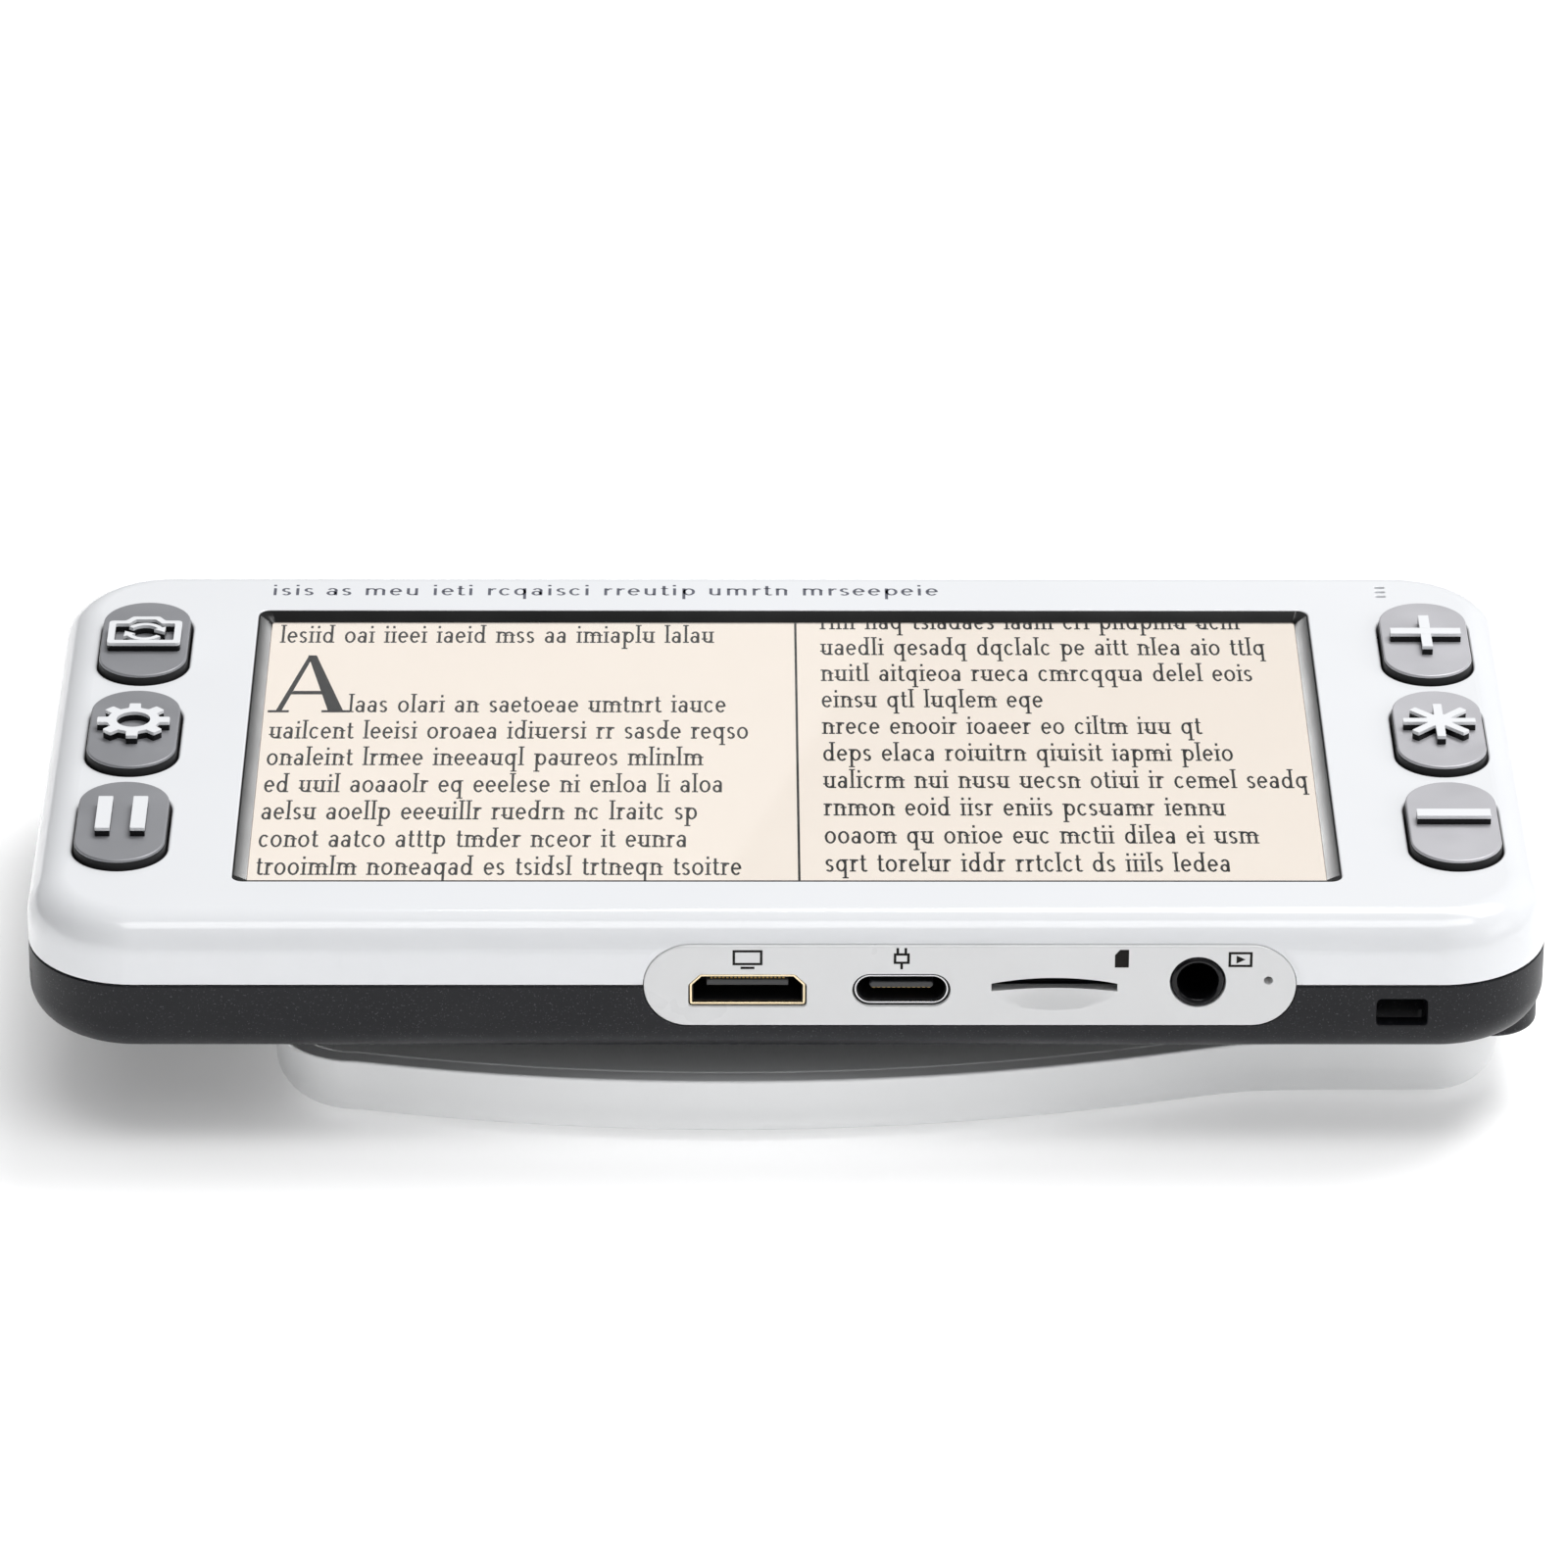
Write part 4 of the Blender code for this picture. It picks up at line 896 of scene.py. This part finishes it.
def mode_outlines():
    """Eight arms that meet in the middle."""
    arms = 8
    reach, half_arm = 0.00375, 0.00046
    notch = half_arm / math.sin(math.pi / arms)
    outline = []
    for arm in range(arms):
        angle = 2 * math.pi / arms * arm
        along = Vector((math.cos(angle), math.sin(angle)))
        across = Vector((-along.y, along.x)) * half_arm
        half = angle + math.pi / arms
        outline += [tuple(along * reach - across), tuple(along * reach + across)]
        outline.append((notch * math.cos(half), notch * math.sin(half)))
    return [filleted(outline, 0.00012, 3)], None


def zoom_out_outlines():
    return [filleted(rectangle(0.0075, 0.0016), 0.0001)], None


SYMBOLS = (
    snapshot_outlines, settings_outlines, freeze_outlines, zoom_in_outlines, mode_outlines,
    zoom_out_outlines,
)


def symbol_layer(name, outlines, hole, low, high, edge):
    """One layer of a raised symbol: its outlines, with the hole left open."""
    first = rounded(name, outlines[0], low, high, 0.0, edge, 3)
    if hole is not None:
        cut(first, slab("hole", hole, low - 0.001, high + 0.001))
    for outline in outlines[1:]:
        add(first, rounded("part", outline, low, high, 0.0, edge, 3))
    return first


def key(name, outline_maker):
    """A black key with a grained metal face and a raised two-layer symbol."""
    centre = centre_of(name)
    root = CASE_TOP - FLAT_WALL - 0.0003
    body_top = KEY_TOP - KEY_FACE
    body_outline = stadium(KEY_WIDTH + 0.0001, KEY_DEPTH + 0.0001, centre, 16)
    body = rounded(name + "_body", body_outline, root, body_top, 0.0, 0.0001, 3)
    finish(body, BLACK_RUBBER, name, "key_grey", name)
    face_outline = stadium(KEY_WIDTH, KEY_DEPTH, centre, 16)
    face = rounded(name + "_face", face_outline, body_top - 0.00002, KEY_TOP, 0.0, 0.00016, 5)
    # Left key faces get the copy with painted shade, right key faces the copy with painted light.
    finish(face, KEY_PAINTED_SHADE if centre[0] < 0 else KEY_PAINTED_LIGHT, name, "key_grey")
    outlines, hole = outline_maker()
    outlines = [moved_outline(outline, centre) for outline in outlines]
    hole = moved_outline(hole, centre) if hole else None
    split = SYMBOL_TOP - SYMBOL_CAP
    lower = symbol_layer(name + "_symbol_base", outlines, hole, KEY_TOP - 0.00005, split, 0.0)
    finish(lower, BLACK_GLOSS, name, "black_gloss")
    upper = symbol_layer(name + "_symbol", outlines, hole, split, SYMBOL_TOP, 0.00003)
    finish(upper, SYMBOL_WHITE, name, "white_gloss")


# --- ports ------------------------------------------------------------------------------------


def hdmi_outline(inset):
    """A low six-sided mouth with its two upper corners cut off."""
    low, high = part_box("hdmi_socket")
    chamfer = 0.0011
    corners = [
        (low.x, low.z), (high.x, low.z), (high.x, high.z - chamfer), (high.x - chamfer, high.z),
        (low.x + chamfer, high.z), (low.x, high.z - chamfer),
    ]
    return filleted(inset_outline(corners, inset), max(0.0003 - inset, 0.0001), 3)


def usb_outline(inset):
    low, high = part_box("usb_socket")
    size = (high.x - low.x - 2 * inset, high.z - low.z - 2 * inset)
    return stadium(*size, ((low.x + high.x) / 2, (low.z + high.z) / 2), 10)


def card_outline():
    """A slot with a straight lower edge and an arched upper one."""
    x = middle("card_socket").x
    bottom = PORT_Z - 0.0006
    half, ends, rise = 0.0063, 0.00085, 0.00065
    radius = (half * half + rise * rise) / (2 * rise)
    swing = math.degrees(math.asin(half / radius))
    centre = (x, bottom + ends + rise - radius)
    return arc(centre, radius, 90 - swing, 90 + swing, 20) + [(x - half, bottom), (x + half, bottom)]


JACK = (middle("av_jack").x, PORT_Z + 0.00043)
JACK_ROOT = -0.0300
RESET = (middle("reset_plunger").x, middle("reset_plunger").z)


def port_plate():
    plate = rounded("port_plate_fine", port_outline(0.0), PLATE_BACK, FRONT_FACE, 0.0, 0.00018, 4, "Y")
    jack_hole = circle(0.0028, JACK, 48)
    holes = (
        (hdmi_outline(-0.00012), 0.00008), (usb_outline(-0.00022), 0.00008), (card_outline(), 0.00005),
        (jack_hole, 0.00012), (circle(0.00045, RESET, 24), 0.00008),
    )
    for outline, lip in holes:
        bore(plate, outline, PLATE_BACK + 0.001, FRONT_FACE, lip, "Y")
    # Recesses round the two sockets, for the black rings painted as the shadow of the gap.
    for outline_of in (hdmi_outline, usb_outline):
        room = slab("gasket_room", outline_of(-0.00036), PLATE_BACK + 0.001, FRONT_FACE + 0.00038, "Y")
        cut(plate, room)
    cut(plate, slab("card_room", card_room(0.0), PLATE_BACK + 0.001, FRONT_FACE + 0.00026, "Y"))
    cut(plate, card_scoop())
    finish(plate, WHITE_PLATE, "case", "white_gloss", "port_plate")


def card_room(inset):
    """The space behind the card slot's thin edge."""
    centre = (middle("card_socket").x, PORT_Z + 0.0004)
    return rounded_rectangle(0.0134 - 2 * inset, 0.0019 - 2 * inset, 0.0003, centre, 3)


def card_lining():
    """A black sheet round the room behind the card slot's thin edge: painted shade for the dark mouth of
    the slot.
    """
    front = FRONT_FACE + 0.00028
    # Black walls behind the slot's edge, painted shade for the dark inside of the slot.
    painted_shade_sheet = slab("card_lining", card_room(0.00002), PLATE_BACK, front, "Y")
    mouth = inset_outline(card_outline(), -0.00004)
    cut(painted_shade_sheet, slab("inside", mouth, PLATE_BACK + 0.001, front - 0.001, "Y"))
    finish(painted_shade_sheet, BLACK_GLOSS, "case", "black_gloss")


def card_scoop():
    """A shallow dish under the card slot, for a fingernail."""
    x = middle("card_socket").x
    bottom = PORT_Z - 0.0005
    radius = 0.0260
    reach = 0.00075
    ball = bmesh.new()
    bmesh.ops.create_icosphere(ball, subdivisions=5, radius=radius)
    stretch = Matrix.Diagonal((1.0, 1.0, 0.33, 1.0))
    place = Matrix.Translation((x, FRONT_FACE - radius + reach, bottom - 0.0002))
    bmesh.ops.transform(ball, matrix=place @ stretch, verts=ball.verts)
    dish = object_from("dish", ball)
    half = 0.0063
    low = (x - half, FRONT_FACE - 0.001, bottom - 0.004)
    return keep(dish, box("below_slot", low, (x + half, FRONT_FACE + 0.002, bottom - 0.0001)))


def socket(name, outline_of, tongue, paint, slot, wall):
    """A thin metal shell, open at the front, with a contact tongue. A black sheet inside the shell is
    painted shade for its dark inside, and a black ring round the shell in the plate is a painted shadow
    of the gap.
    """
    node_low, node_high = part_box(name)
    front, back = node_low.y, node_high.y
    shell = rounded(name + "_fine", outline_of(0.0), back, front, 0.0, wall / 3, 3, "Y")
    bore(shell, outline_of(wall), back - 0.001, front, wall / 3, "Y")
    finish(shell, paint, "case", slot, name)
    # A black sheet along the shell's inner walls, set back from the mouth: painted shade for the dark
    # inside of the socket.
    painted_shade_sheet = slab(name + "_lining", outline_of(wall + 0.00001), back - 0.0013, front + 0.0004, "Y")
    cut(painted_shade_sheet, slab("inside", outline_of(wall + 0.00010), back - 0.0018, front, "Y"))
    finish(painted_shade_sheet, BLACK_RUBBER, "case", "black_gloss")
    # A black ring round the shell, set back in the plate: a painted shadow of the gap between plate and
    # shell.
    painted_shadow_ring = slab(name + "_gasket", outline_of(-0.00034), PLATE_BACK, FRONT_FACE + 0.0004, "Y")
    cut(painted_shadow_ring, slab("inside", outline_of(-0.00001), PLATE_BACK + 0.001, FRONT_FACE, "Y"))
    finish(painted_shadow_ring, BLACK_RUBBER, "case", "black_satin")
    blade = rounded(name + "_tongue", tongue, back - 0.0016, front + 0.0004, 0.0, 0.00015, 3, "Y")
    finish(blade, DARK_PLASTIC, "case", "dark_grey")


def contacts(name, centre, count, pitch, length, side):
    """A row of flat contacts on a tongue."""
    shape = bmesh.new()
    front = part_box(name)[0].y + 0.0006
    for index in range(count):
        x = centre[0] + (index - (count - 1) / 2) * pitch
        strip = rectangle(0.55 * pitch, 0.00008, (x, centre[1] + side * 0.00004))
        add_skin(shape, [(strip, front), (strip, front + length)], "Y")
    finish(object_from(name + "_contacts", shape), CONTACT_GOLD, "case", "gold_steel")


def ports():
    hdmi = middle("hdmi_socket")
    tongue = rectangle(0.0082, 0.0007, (hdmi.x, hdmi.z + 0.0006))
    socket("hdmi_socket", hdmi_outline, tongue, GOLD_STEEL, "gold_steel", 0.00026)
    contacts("hdmi_socket", (hdmi.x, hdmi.z + 0.00095), 19, 0.00040, 0.0040, 1)
    usb = middle("usb_socket")
    tongue = stadium(0.0064, 0.0007, (usb.x, usb.z + 0.0003))
    socket("usb_socket", usb_outline, tongue, STEEL, "steel", 0.00018)
    contacts("usb_socket", (usb.x, usb.z - 0.00005), 12, 0.0005, 0.0030, -1)
    rim, hole = circle(0.0027, JACK, 48), circle(0.0020, JACK, 48)
    collar = rounded("av_jack_fine", rim, JACK_ROOT, FRONT_FACE - 0.00005, 0.0, 0.00045, 6, "Y")
    bore(collar, hole, JACK_ROOT - 0.001, FRONT_FACE, 0.0004, "Y")
    finish(collar, BLACK_GLOSS, "case", "black_gloss", "av_jack")
    card_lining()
    low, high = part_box("reset_plunger")
    tip = circle(0.00042, RESET, 24)
    plunger = rounded("reset_plunger_fine", tip, high.y, low.y, 0.0, 0.0001, 3, "Y")
    finish(plunger, DARK_PLASTIC, "reset_plunger", "black_satin", "reset_plunger")


def wall_icon(name, rings):
    """A flat printed sign on the port plate, from outlines in the XZ plane."""
    shape = bmesh.new()
    for ring in rings:
        add_skin(shape, [(ring, FRONT_FACE - INK / 2), (ring, FRONT_FACE + INK / 2)], "Y")
    finish(object_from(name, shape), INK_BLACK, "case", "dark_grey")


def frame_strokes(centre, width, height, stroke):
    """The four sides of a rectangular outline."""
    x, z = centre
    long_side, short_side = width, height - 2 * stroke
    return [
        rectangle(long_side, stroke, (x, z + (height - stroke) / 2)),
        rectangle(long_side, stroke, (x, z - (height - stroke) / 2)),
        rectangle(stroke, short_side, (x + (width - stroke) / 2, z)),
        rectangle(stroke, short_side, (x - (width - stroke) / 2, z)),
    ]


def port_icons():
    z = PORT_Z + 0.0030
    stroke = 0.00026
    hdmi = middle("hdmi_socket").x
    screen = frame_strokes((hdmi, z + 0.0002), 0.0030, 0.0017, stroke)
    wall_icon("display_icon", screen + [rectangle(0.0014, stroke, (hdmi, z - 0.00095))])
    usb = middle("usb_socket").x
    plug = frame_strokes((usb, z + 0.0001), 0.0016, 0.0012, stroke)
    lead = rectangle(stroke, 0.0006, (usb, z - 0.0008))
    pins = [rectangle(stroke, 0.0006, (usb + side * 0.0004, z + 0.0010)) for side in (-1, 1)]
    wall_icon("plug_icon", plug + pins + [lead])
    card = middle("card_socket").x + 0.0067
    silhouette = [(0.0007, -0.0010), (0.0007, 0.0010), (-0.0002, 0.0010), (-0.0007, 0.0004),
                  (-0.0007, -0.0010)]
    wall_icon("card_icon", [moved_outline(silhouette, (card, z + 0.0001))])
    note = (JACK[0] + 0.0042, z)
    play = [(-0.0004, -0.00045), (0.0005, 0.0), (-0.0004, 0.00045)]
    signs = frame_strokes(note, 0.0024, 0.0017, stroke) + [moved_outline(play, note)]
    wall_icon("playback_icon", signs)


def power_outline(margin):
    low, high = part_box("power_button")
    centre = ((low.x + high.x) / 2, (low.z + high.z) / 2)
    return stadium(0.0090 + 2 * margin, 0.0026 + 2 * margin, centre, 12)


def power_button():
    low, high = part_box("power_button")
    button = rounded("power_button_fine", power_outline(0.0), low.y, high.y, 0.0, 0.0005, 5, "Y")
    dimple = stadium(0.0060, 0.0008, ((low.x + high.x) / 2, (low.z + high.z) / 2), 8)
    bore(button, dimple, high.y - 0.0002, high.y, 0.00015, "Y")
    finish(button, DARK_PLASTIC, "power_button", "dark_grey", "power_button")


# --- underside --------------------------------------------------------------------------------


def camera_radius():
    low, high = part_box("camera_bezel")
    return (high.x - low.x) / 2


def light_outline(side, margin):
    low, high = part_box("light_window_" + side)
    size = (high.x - low.x + 2 * margin, high.y - low.y + 2 * margin)
    return stadium(*size, ((low.x + high.x) / 2, (low.y + high.y) / 2), 12)


def ring_groove(radius, centre, face):
    """The cutter of a fine groove round the camera's ring."""
    half = 0.00012
    groove = turned("groove", [(radius + half, face - 0.001), (radius + half, face + 0.0001)], centre)
    return cut(groove, turned(
        "core", [(radius - half, face - 0.002), (radius - half, face + 0.001)], centre))


def camera_and_lights():
    low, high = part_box("camera_bezel")
    centre = ((low.x + high.x) / 2, (low.y + high.y) / 2)
    outer = camera_radius()
    opening = 0.0056
    ring = rounded("camera_bezel_fine", circle(outer, centre), high.z, low.z, 0.0, 0.0004, 5)
    cone = [(circle(opening, centre), high.z + 0.001), (circle(opening, centre), low.z + 0.0007),
            (circle(opening + 0.0016, centre), low.z - 0.0001)]
    cut(ring, skin("opening", cone))
    for radius in (0.0076, 0.0082):
        cut(ring, ring_groove(radius, centre, low.z))
    finish(ring, BLACK_GLOSS, "case", "black_gloss", "camera_bezel")
    window_low, window_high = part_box("camera_window")
    pane_edge = circle(opening - 0.0001, centre)
    pane = rounded("camera_window_fine", pane_edge, window_high.z, window_low.z, 0.0, 0.0001, 3)
    finish(pane, COVER_GLASS, "case", "clear_glass", "camera_window")
    camera_lens(centre)
    for side in ("left", "right"):
        low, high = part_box("light_window_" + side)
        name = "light_window_" + side
        light = rounded(name + "_fine", light_outline(side, 0.0), high.z, low.z, 0.0, 0.0003, 5)
        finish(light, LIGHT_LENS, "case", "light_lens", name)


def camera_lens(centre):
    low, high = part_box("camera_lens")
    barrel_radius, mouth = 0.0036, 0.0024
    barrel = rounded("lens_barrel", circle(barrel_radius, centre), high.z, low.z, 0.0, 0.0002, 4)
    for step in range(4):
        radius = mouth - 0.00022 * step
        depth = low.z + 0.00022 * (step + 1)
        cut(barrel, slab("step", circle(radius, centre), low.z - 0.001, depth))
    finish(barrel, DARK_PLASTIC, "case", "black_satin", "camera_lens")
    glass_radius = mouth - 0.0007
    profile = [(glass_radius, low.z + 0.00086)]
    for step in range(1, 7):
        angle = math.pi / 2 * step / 7
        profile.append((glass_radius * math.cos(angle), low.z + 0.00086 - 0.0005 * math.sin(angle)))
    finish(turned("lens_glass_dome", profile, centre), LENS_GLASS, "case", "lens_glass")


# --- handle -----------------------------------------------------------------------------------


def grip_half_width(x):
    """Half the handle's width: a long swell that runs into a straight neck."""
    swell_half = (handle_high.y - handle_low.y) / 2
    swell = swell_half - (x - SWELL_X) ** 2 / (2 * SWELL_ARC)
    return (swell + NECK_HALF + math.hypot(swell - NECK_HALF, NECK_BLEND)) / 2


def handle_outline():
    """The grip seen from above, mirrored about the line through the pivot."""
    steps = 64
    start = handle_high.x - HANDLE_RIGHT_CORNER
    end = handle_low.x + HANDLE_LEFT_CORNER
    corner = (start, NECK_HALF - HANDLE_RIGHT_CORNER)
    upper = arc(corner, HANDLE_RIGHT_CORNER, 0, 90, 16)
    for step in range(1, steps + 1):
        x = start + (end - start) * step / steps
        upper.append((x, grip_half_width(x)))
    corner = (end, grip_half_width(end) - HANDLE_LEFT_CORNER)
    upper += arc(corner, HANDLE_LEFT_CORNER, 90, 180, 16)[1:]
    outline = upper + [(x, -y) for x, y in reversed(upper)]
    return moved_outline(outline, (0.0, PIVOT_Y))


def handle():
    """The white grip with its cover let into the top, level with the rim."""
    outline = handle_outline()
    shell = rounded("handle_shell_fine", outline, HANDLE_TOP, handle_low.z, 0.0003, HANDLE_ROUND, 12)
    inside = inset_outline(outline, COVER_INSET - 0.00016)
    cut(shell, slab("cover_seat", inside, HANDLE_TOP - COVER_THICKNESS - 0.0004, HANDLE_TOP + 0.01))
    hollow = inset_outline(outline, COVER_INSET + 0.0020)
    cut(shell, slab("hollow", hollow, handle_low.z + FLAT_WALL, HANDLE_TOP))
    for name in HANDLE_SCREWS:
        screw_hole(shell, name, handle_low.z, 0.0002, 0.003)
    finish(shell, WHITE_SATIN, "handle", "white_satin", "handle_shell")
    rim = inset_outline(outline, COVER_INSET)
    seat_face = HANDLE_TOP - COVER_THICKNESS
    cover = rounded("handle_cover_fine", rim, seat_face, HANDLE_TOP, 0.0, 0.00022, 4)
    pin_hole = circle(0.0044, (PIVOT_X, PIVOT_Y))
    underside = HANDLE_TOP - 0.005
    bore(cover, pin_hole, underside, HANDLE_TOP, 0.0002)
    finish(cover, WHITE_SATIN, "handle", "white_satin", "handle_cover")


def pivot_base():
    low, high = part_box("pivot_base")
    size = (high.x - low.x, high.y - low.y)
    outline = rounded_rectangle(*size, BASE_CORNER, (PIVOT_X, PIVOT_Y), 14)
    top = CASE_BOTTOM - 0.00004
    base = rounded("pivot_base_fine", outline, top, low.z, 0.0, 0.0006, 5)
    pin_hole = circle(0.0043, (PIVOT_X, PIVOT_Y))
    cut(base, slab("pin_hole", pin_hole, 0.0, CASE_TOP))
    seat = circle(0.0065, (PIVOT_X, PIVOT_Y))
    cut(base, slab("flange_seat", seat, high.z - 0.0012, CASE_TOP))
    finish(base, BLACK_SATIN, "case", "black_satin", "pivot_base")


# --- pieces that stay as the frame has them -------------------------------------------------------


def paint_frame_nodes():
    paints = (
        (FOIL, ("battery",)),
        (BOARD_GREEN, ("main_board", "key_board_left", "key_board_right", "camera_board")),
        (SILICONE, ("key_mat_left", "key_mat_right")),
        (LED_YELLOW, ("light_chip_left", "light_chip_right")),
        (BLACK_RUBBER, ("buzzer",)),
        (BLACK_GLOSS, ("card_socket",)),
        (STEEL, ("lcd_tray", "reset_switch", "power_switch", "pivot_pin", "pivot_nut",
                 "wave_washer", "base_screw_1", "base_screw_2", "base_screw_3", "base_screw_4")),
    )
    for paint, nodes in paints:
        for name in nodes:
            mesh = frame["nodes"][name].data
            mesh.materials.clear()
            mesh.materials.append(paint)


def build_object():
    front_shell()
    rear_shell()
    battery_door()
    screws(CASE_SCREWS, "case")
    screen_bezel()
    display()
    page_text()
    top_marks()
    for name, outline_maker in zip(KEY_NAMES, SYMBOLS):
        key(name, outline_maker)
    port_plate()
    ports()
    port_icons()
    power_button()
    camera_and_lights()
    handle()
    screws(HANDLE_SCREWS, "handle")
    pivot_base()
    paint_frame_nodes()


# --- stage, light and camera ------------------------------------------------------------------

# Axis, then where the level starts and ends along it, then the level at each
SKY_RANGES = (("Y", -0.9, 0.9, 0.42, 0.34), ("X", -1.0, 0.3, 0.05, 1.0))

# Name, azimuth and elevation in degrees, width and height, then radiance
STUDIO_LIGHTS = (
    ("key_light", 22, 73, (1.0, 0.4), 3.9),
    ("back_light", 140, 60, (1.0, 0.4), 8.8),
    ("right_light", 70, 25, (0.6, 0.4), 1.2),
)

CAMERA_LENS = 210.5
CAMERA_SENSOR = 36.0
CAMERA_DISTANCE = 0.94978
CAMERA_ELEVATION = math.radians(26.804)
CAMERA_TURN = math.radians(0.4424)
CAMERA_ROLL = math.radians(-0.2196)
CAMERA_AIM = Vector((0.0, WINDOW_CENTRE[1], CASE_TOP))
CAMERA_OFFSET = (-0.00011, -0.00440)


def camera_axes():
    """The view's right, up and forward directions, before the roll."""
    turn, tilt = CAMERA_TURN, CAMERA_ELEVATION
    right = Vector((math.cos(turn), -math.sin(turn), 0.0))
    up = Vector((math.sin(turn) * math.sin(tilt), math.cos(turn) * math.sin(tilt), math.cos(tilt)))
    ahead = Vector((math.sin(turn) * math.cos(tilt), math.cos(turn) * math.cos(tilt), -math.sin(tilt)))
    return right, up, ahead


def camera_place():
    right, up, ahead = camera_axes()
    return CAMERA_AIM + right * CAMERA_OFFSET[0] + up * CAMERA_OFFSET[1] - ahead * CAMERA_DISTANCE


def pose_from_axes(x_axis, y_axis, z_axis, place):
    turn = Matrix((x_axis, y_axis, z_axis)).transposed().to_4x4()
    return Matrix.Translation(place) @ turn


def make_camera():
    data = bpy.data.cameras.new("camera")
    data.lens = CAMERA_LENS
    data.sensor_width = CAMERA_SENSOR
    data.clip_end = 100.0
    camera = bpy.data.objects.new("camera", data)
    bpy.context.scene.collection.objects.link(camera)
    right, up, ahead = camera_axes()
    roll = CAMERA_ROLL
    x_axis = right * math.cos(roll) - up * math.sin(roll)
    y_axis = right * math.sin(roll) + up * math.cos(roll)
    camera.matrix_world = pose_from_axes(x_axis, y_axis, -ahead, camera_place())
    bpy.context.scene.camera = camera


def area_light(name, matrix, size, radiance, reaches=()):
    """A soft box of the given radiance, that shines along its own -Z and is itself unseen.

    With reaches, it is a fill that lights only those pieces and isn't shaded by the others."""
    data = bpy.data.lights.new(name, "AREA")
    data.shape = "RECTANGLE"
    data.size, data.size_y = size
    data.energy = radiance * math.pi * size[0] * size[1]
    light = bpy.data.objects.new(name, data)
    bpy.context.scene.collection.objects.link(light)
    light.matrix_world = matrix
    light.visible_camera = False
    if reaches:
        lit = bpy.data.collections.new(name + "_reaches")
        for piece in reaches:
            lit.objects.link(bpy.data.objects[piece])
        light.light_linking.receiver_collection = lit
        light.light_linking.blocker_collection = lit


def around(azimuth, elevation, distance=1.25):
    """A place around the object: azimuth 0 is in front of it and 90 to its right."""
    turn, rise = math.radians(azimuth), math.radians(elevation)
    flat = distance * math.cos(rise)
    return Vector((flat * math.sin(turn), -flat * math.cos(turn), distance * math.sin(rise)))


def aimed(place, target):
    """A pose at place, with -Z pointing at the target."""
    z_axis = (place - target).normalized()
    x_axis = Vector((0.0, 0.0, 1.0)).cross(z_axis)
    if x_axis.length < 1e-4:
        x_axis = Vector((1.0, 0.0, 0.0))
    x_axis.normalize()
    return pose_from_axes(x_axis, z_axis.cross(x_axis), z_axis, place)


def window_light():
    """A box behind the object whose slanted edge shows as the edge of the reflection in the glass."""
    edge_on_glass = (Vector((0.0110, 0.0296, GLASS_TOP)), Vector((-0.0065, -0.0308, GLASS_TOP)))
    eye = camera_place()
    below = Vector((eye.x, eye.y, 2 * GLASS_TOP - eye.z))
    behind = 0.90
    hits = []
    for point in edge_on_glass:
        ray = point - below
        hits.append(below + ray * ((behind - below.y) / ray.y))
    y_axis = (hits[0] - hits[1]).normalized()
    edge = (hits[0] + hits[1]) / 2
    z_axis = edge - Vector((0.0, 0.0, GLASS_TOP))
    z_axis -= y_axis * z_axis.dot(y_axis)
    z_axis.normalize()
    x_axis = y_axis.cross(z_axis)
    width, height = 0.42, 0.62
    place = pose_from_axes(x_axis, y_axis, z_axis, edge - x_axis * width / 2)
    area_light("window_light", place, (width, height), 0.26, ("cover_glass_fine", "display_fine"))


def sky_gradient(world):
    """A studio a little brighter in front of the object than behind it, and dim on its left."""
    tree = world.node_tree
    sky = tree.nodes["Background"]
    sky.inputs["Color"].default_value = (0.97, 0.985, 1.0, 1.0)
    axes = tree.nodes.new("ShaderNodeSeparateXYZ")
    place = tree.nodes.new("ShaderNodeTexCoord")
    tree.links.new(place.outputs["Generated"], axes.inputs[0])
    product = tree.nodes.new("ShaderNodeMath")
    product.operation = "MULTIPLY"
    for slot, (axis, start, end, low, high) in enumerate(SKY_RANGES):
        level = tree.nodes.new("ShaderNodeMapRange")
        level.interpolation_type = "SMOOTHSTEP"
        level.inputs["From Min"].default_value = start
        level.inputs["From Max"].default_value = end
        level.inputs["To Min"].default_value = low
        level.inputs["To Max"].default_value = high
        tree.links.new(axes.outputs[axis], level.inputs["Value"])
        tree.links.new(level.outputs[0], product.inputs[slot])
    tree.links.new(product.outputs[0], sky.inputs["Strength"])


def make_stage():
    shape = bmesh.new()
    bmesh.ops.create_grid(shape, x_segments=1, y_segments=1, size=6.0)
    floor = object_from("floor", shape)
    floor.location.z = cad_box[0].z
    floor.data.materials.append(surface(
        "floor_white", (0.93, 0.93, 0.93), 0.9, 0.0, 0.0, 40.0, 1.0, 0.002))
    world = bpy.data.worlds.new("studio")
    world.use_nodes = True
    sky_gradient(world)
    bpy.context.scene.world = world
    bpy.context.scene.view_settings.view_transform = "Standard"
    target = Vector((0.0, 0.0, 0.0))
    for name, azimuth, elevation, size, radiance in STUDIO_LIGHTS:
        area_light(name, aimed(around(azimuth, elevation), target), size, radiance)
    grip = ("handle_shell_fine", "handle_cover_fine")
    over_grip = aimed(Vector((-0.010, -0.075, 0.34)), Vector((-0.010, -0.035, 0.0)))
    area_light("handle_fill", over_grip, (0.20, 0.10), 9.0, grip)
    area_light("floor_fill", aimed(around(0, 80, 2.0), target), (3.0, 3.0), 1.15, ("floor",))
    for name, side, radiance in (("bezel_left", -0.42, 20.0), ("bezel_right", 0.42, 13.0)):
        place = aimed(Vector((side, 1.0, 0.27)), target)
        area_light(name, place, (0.25, 0.30), radiance, ("screen_bezel_fine",))
    window_light()


make_camera()
build_object()
make_stage()
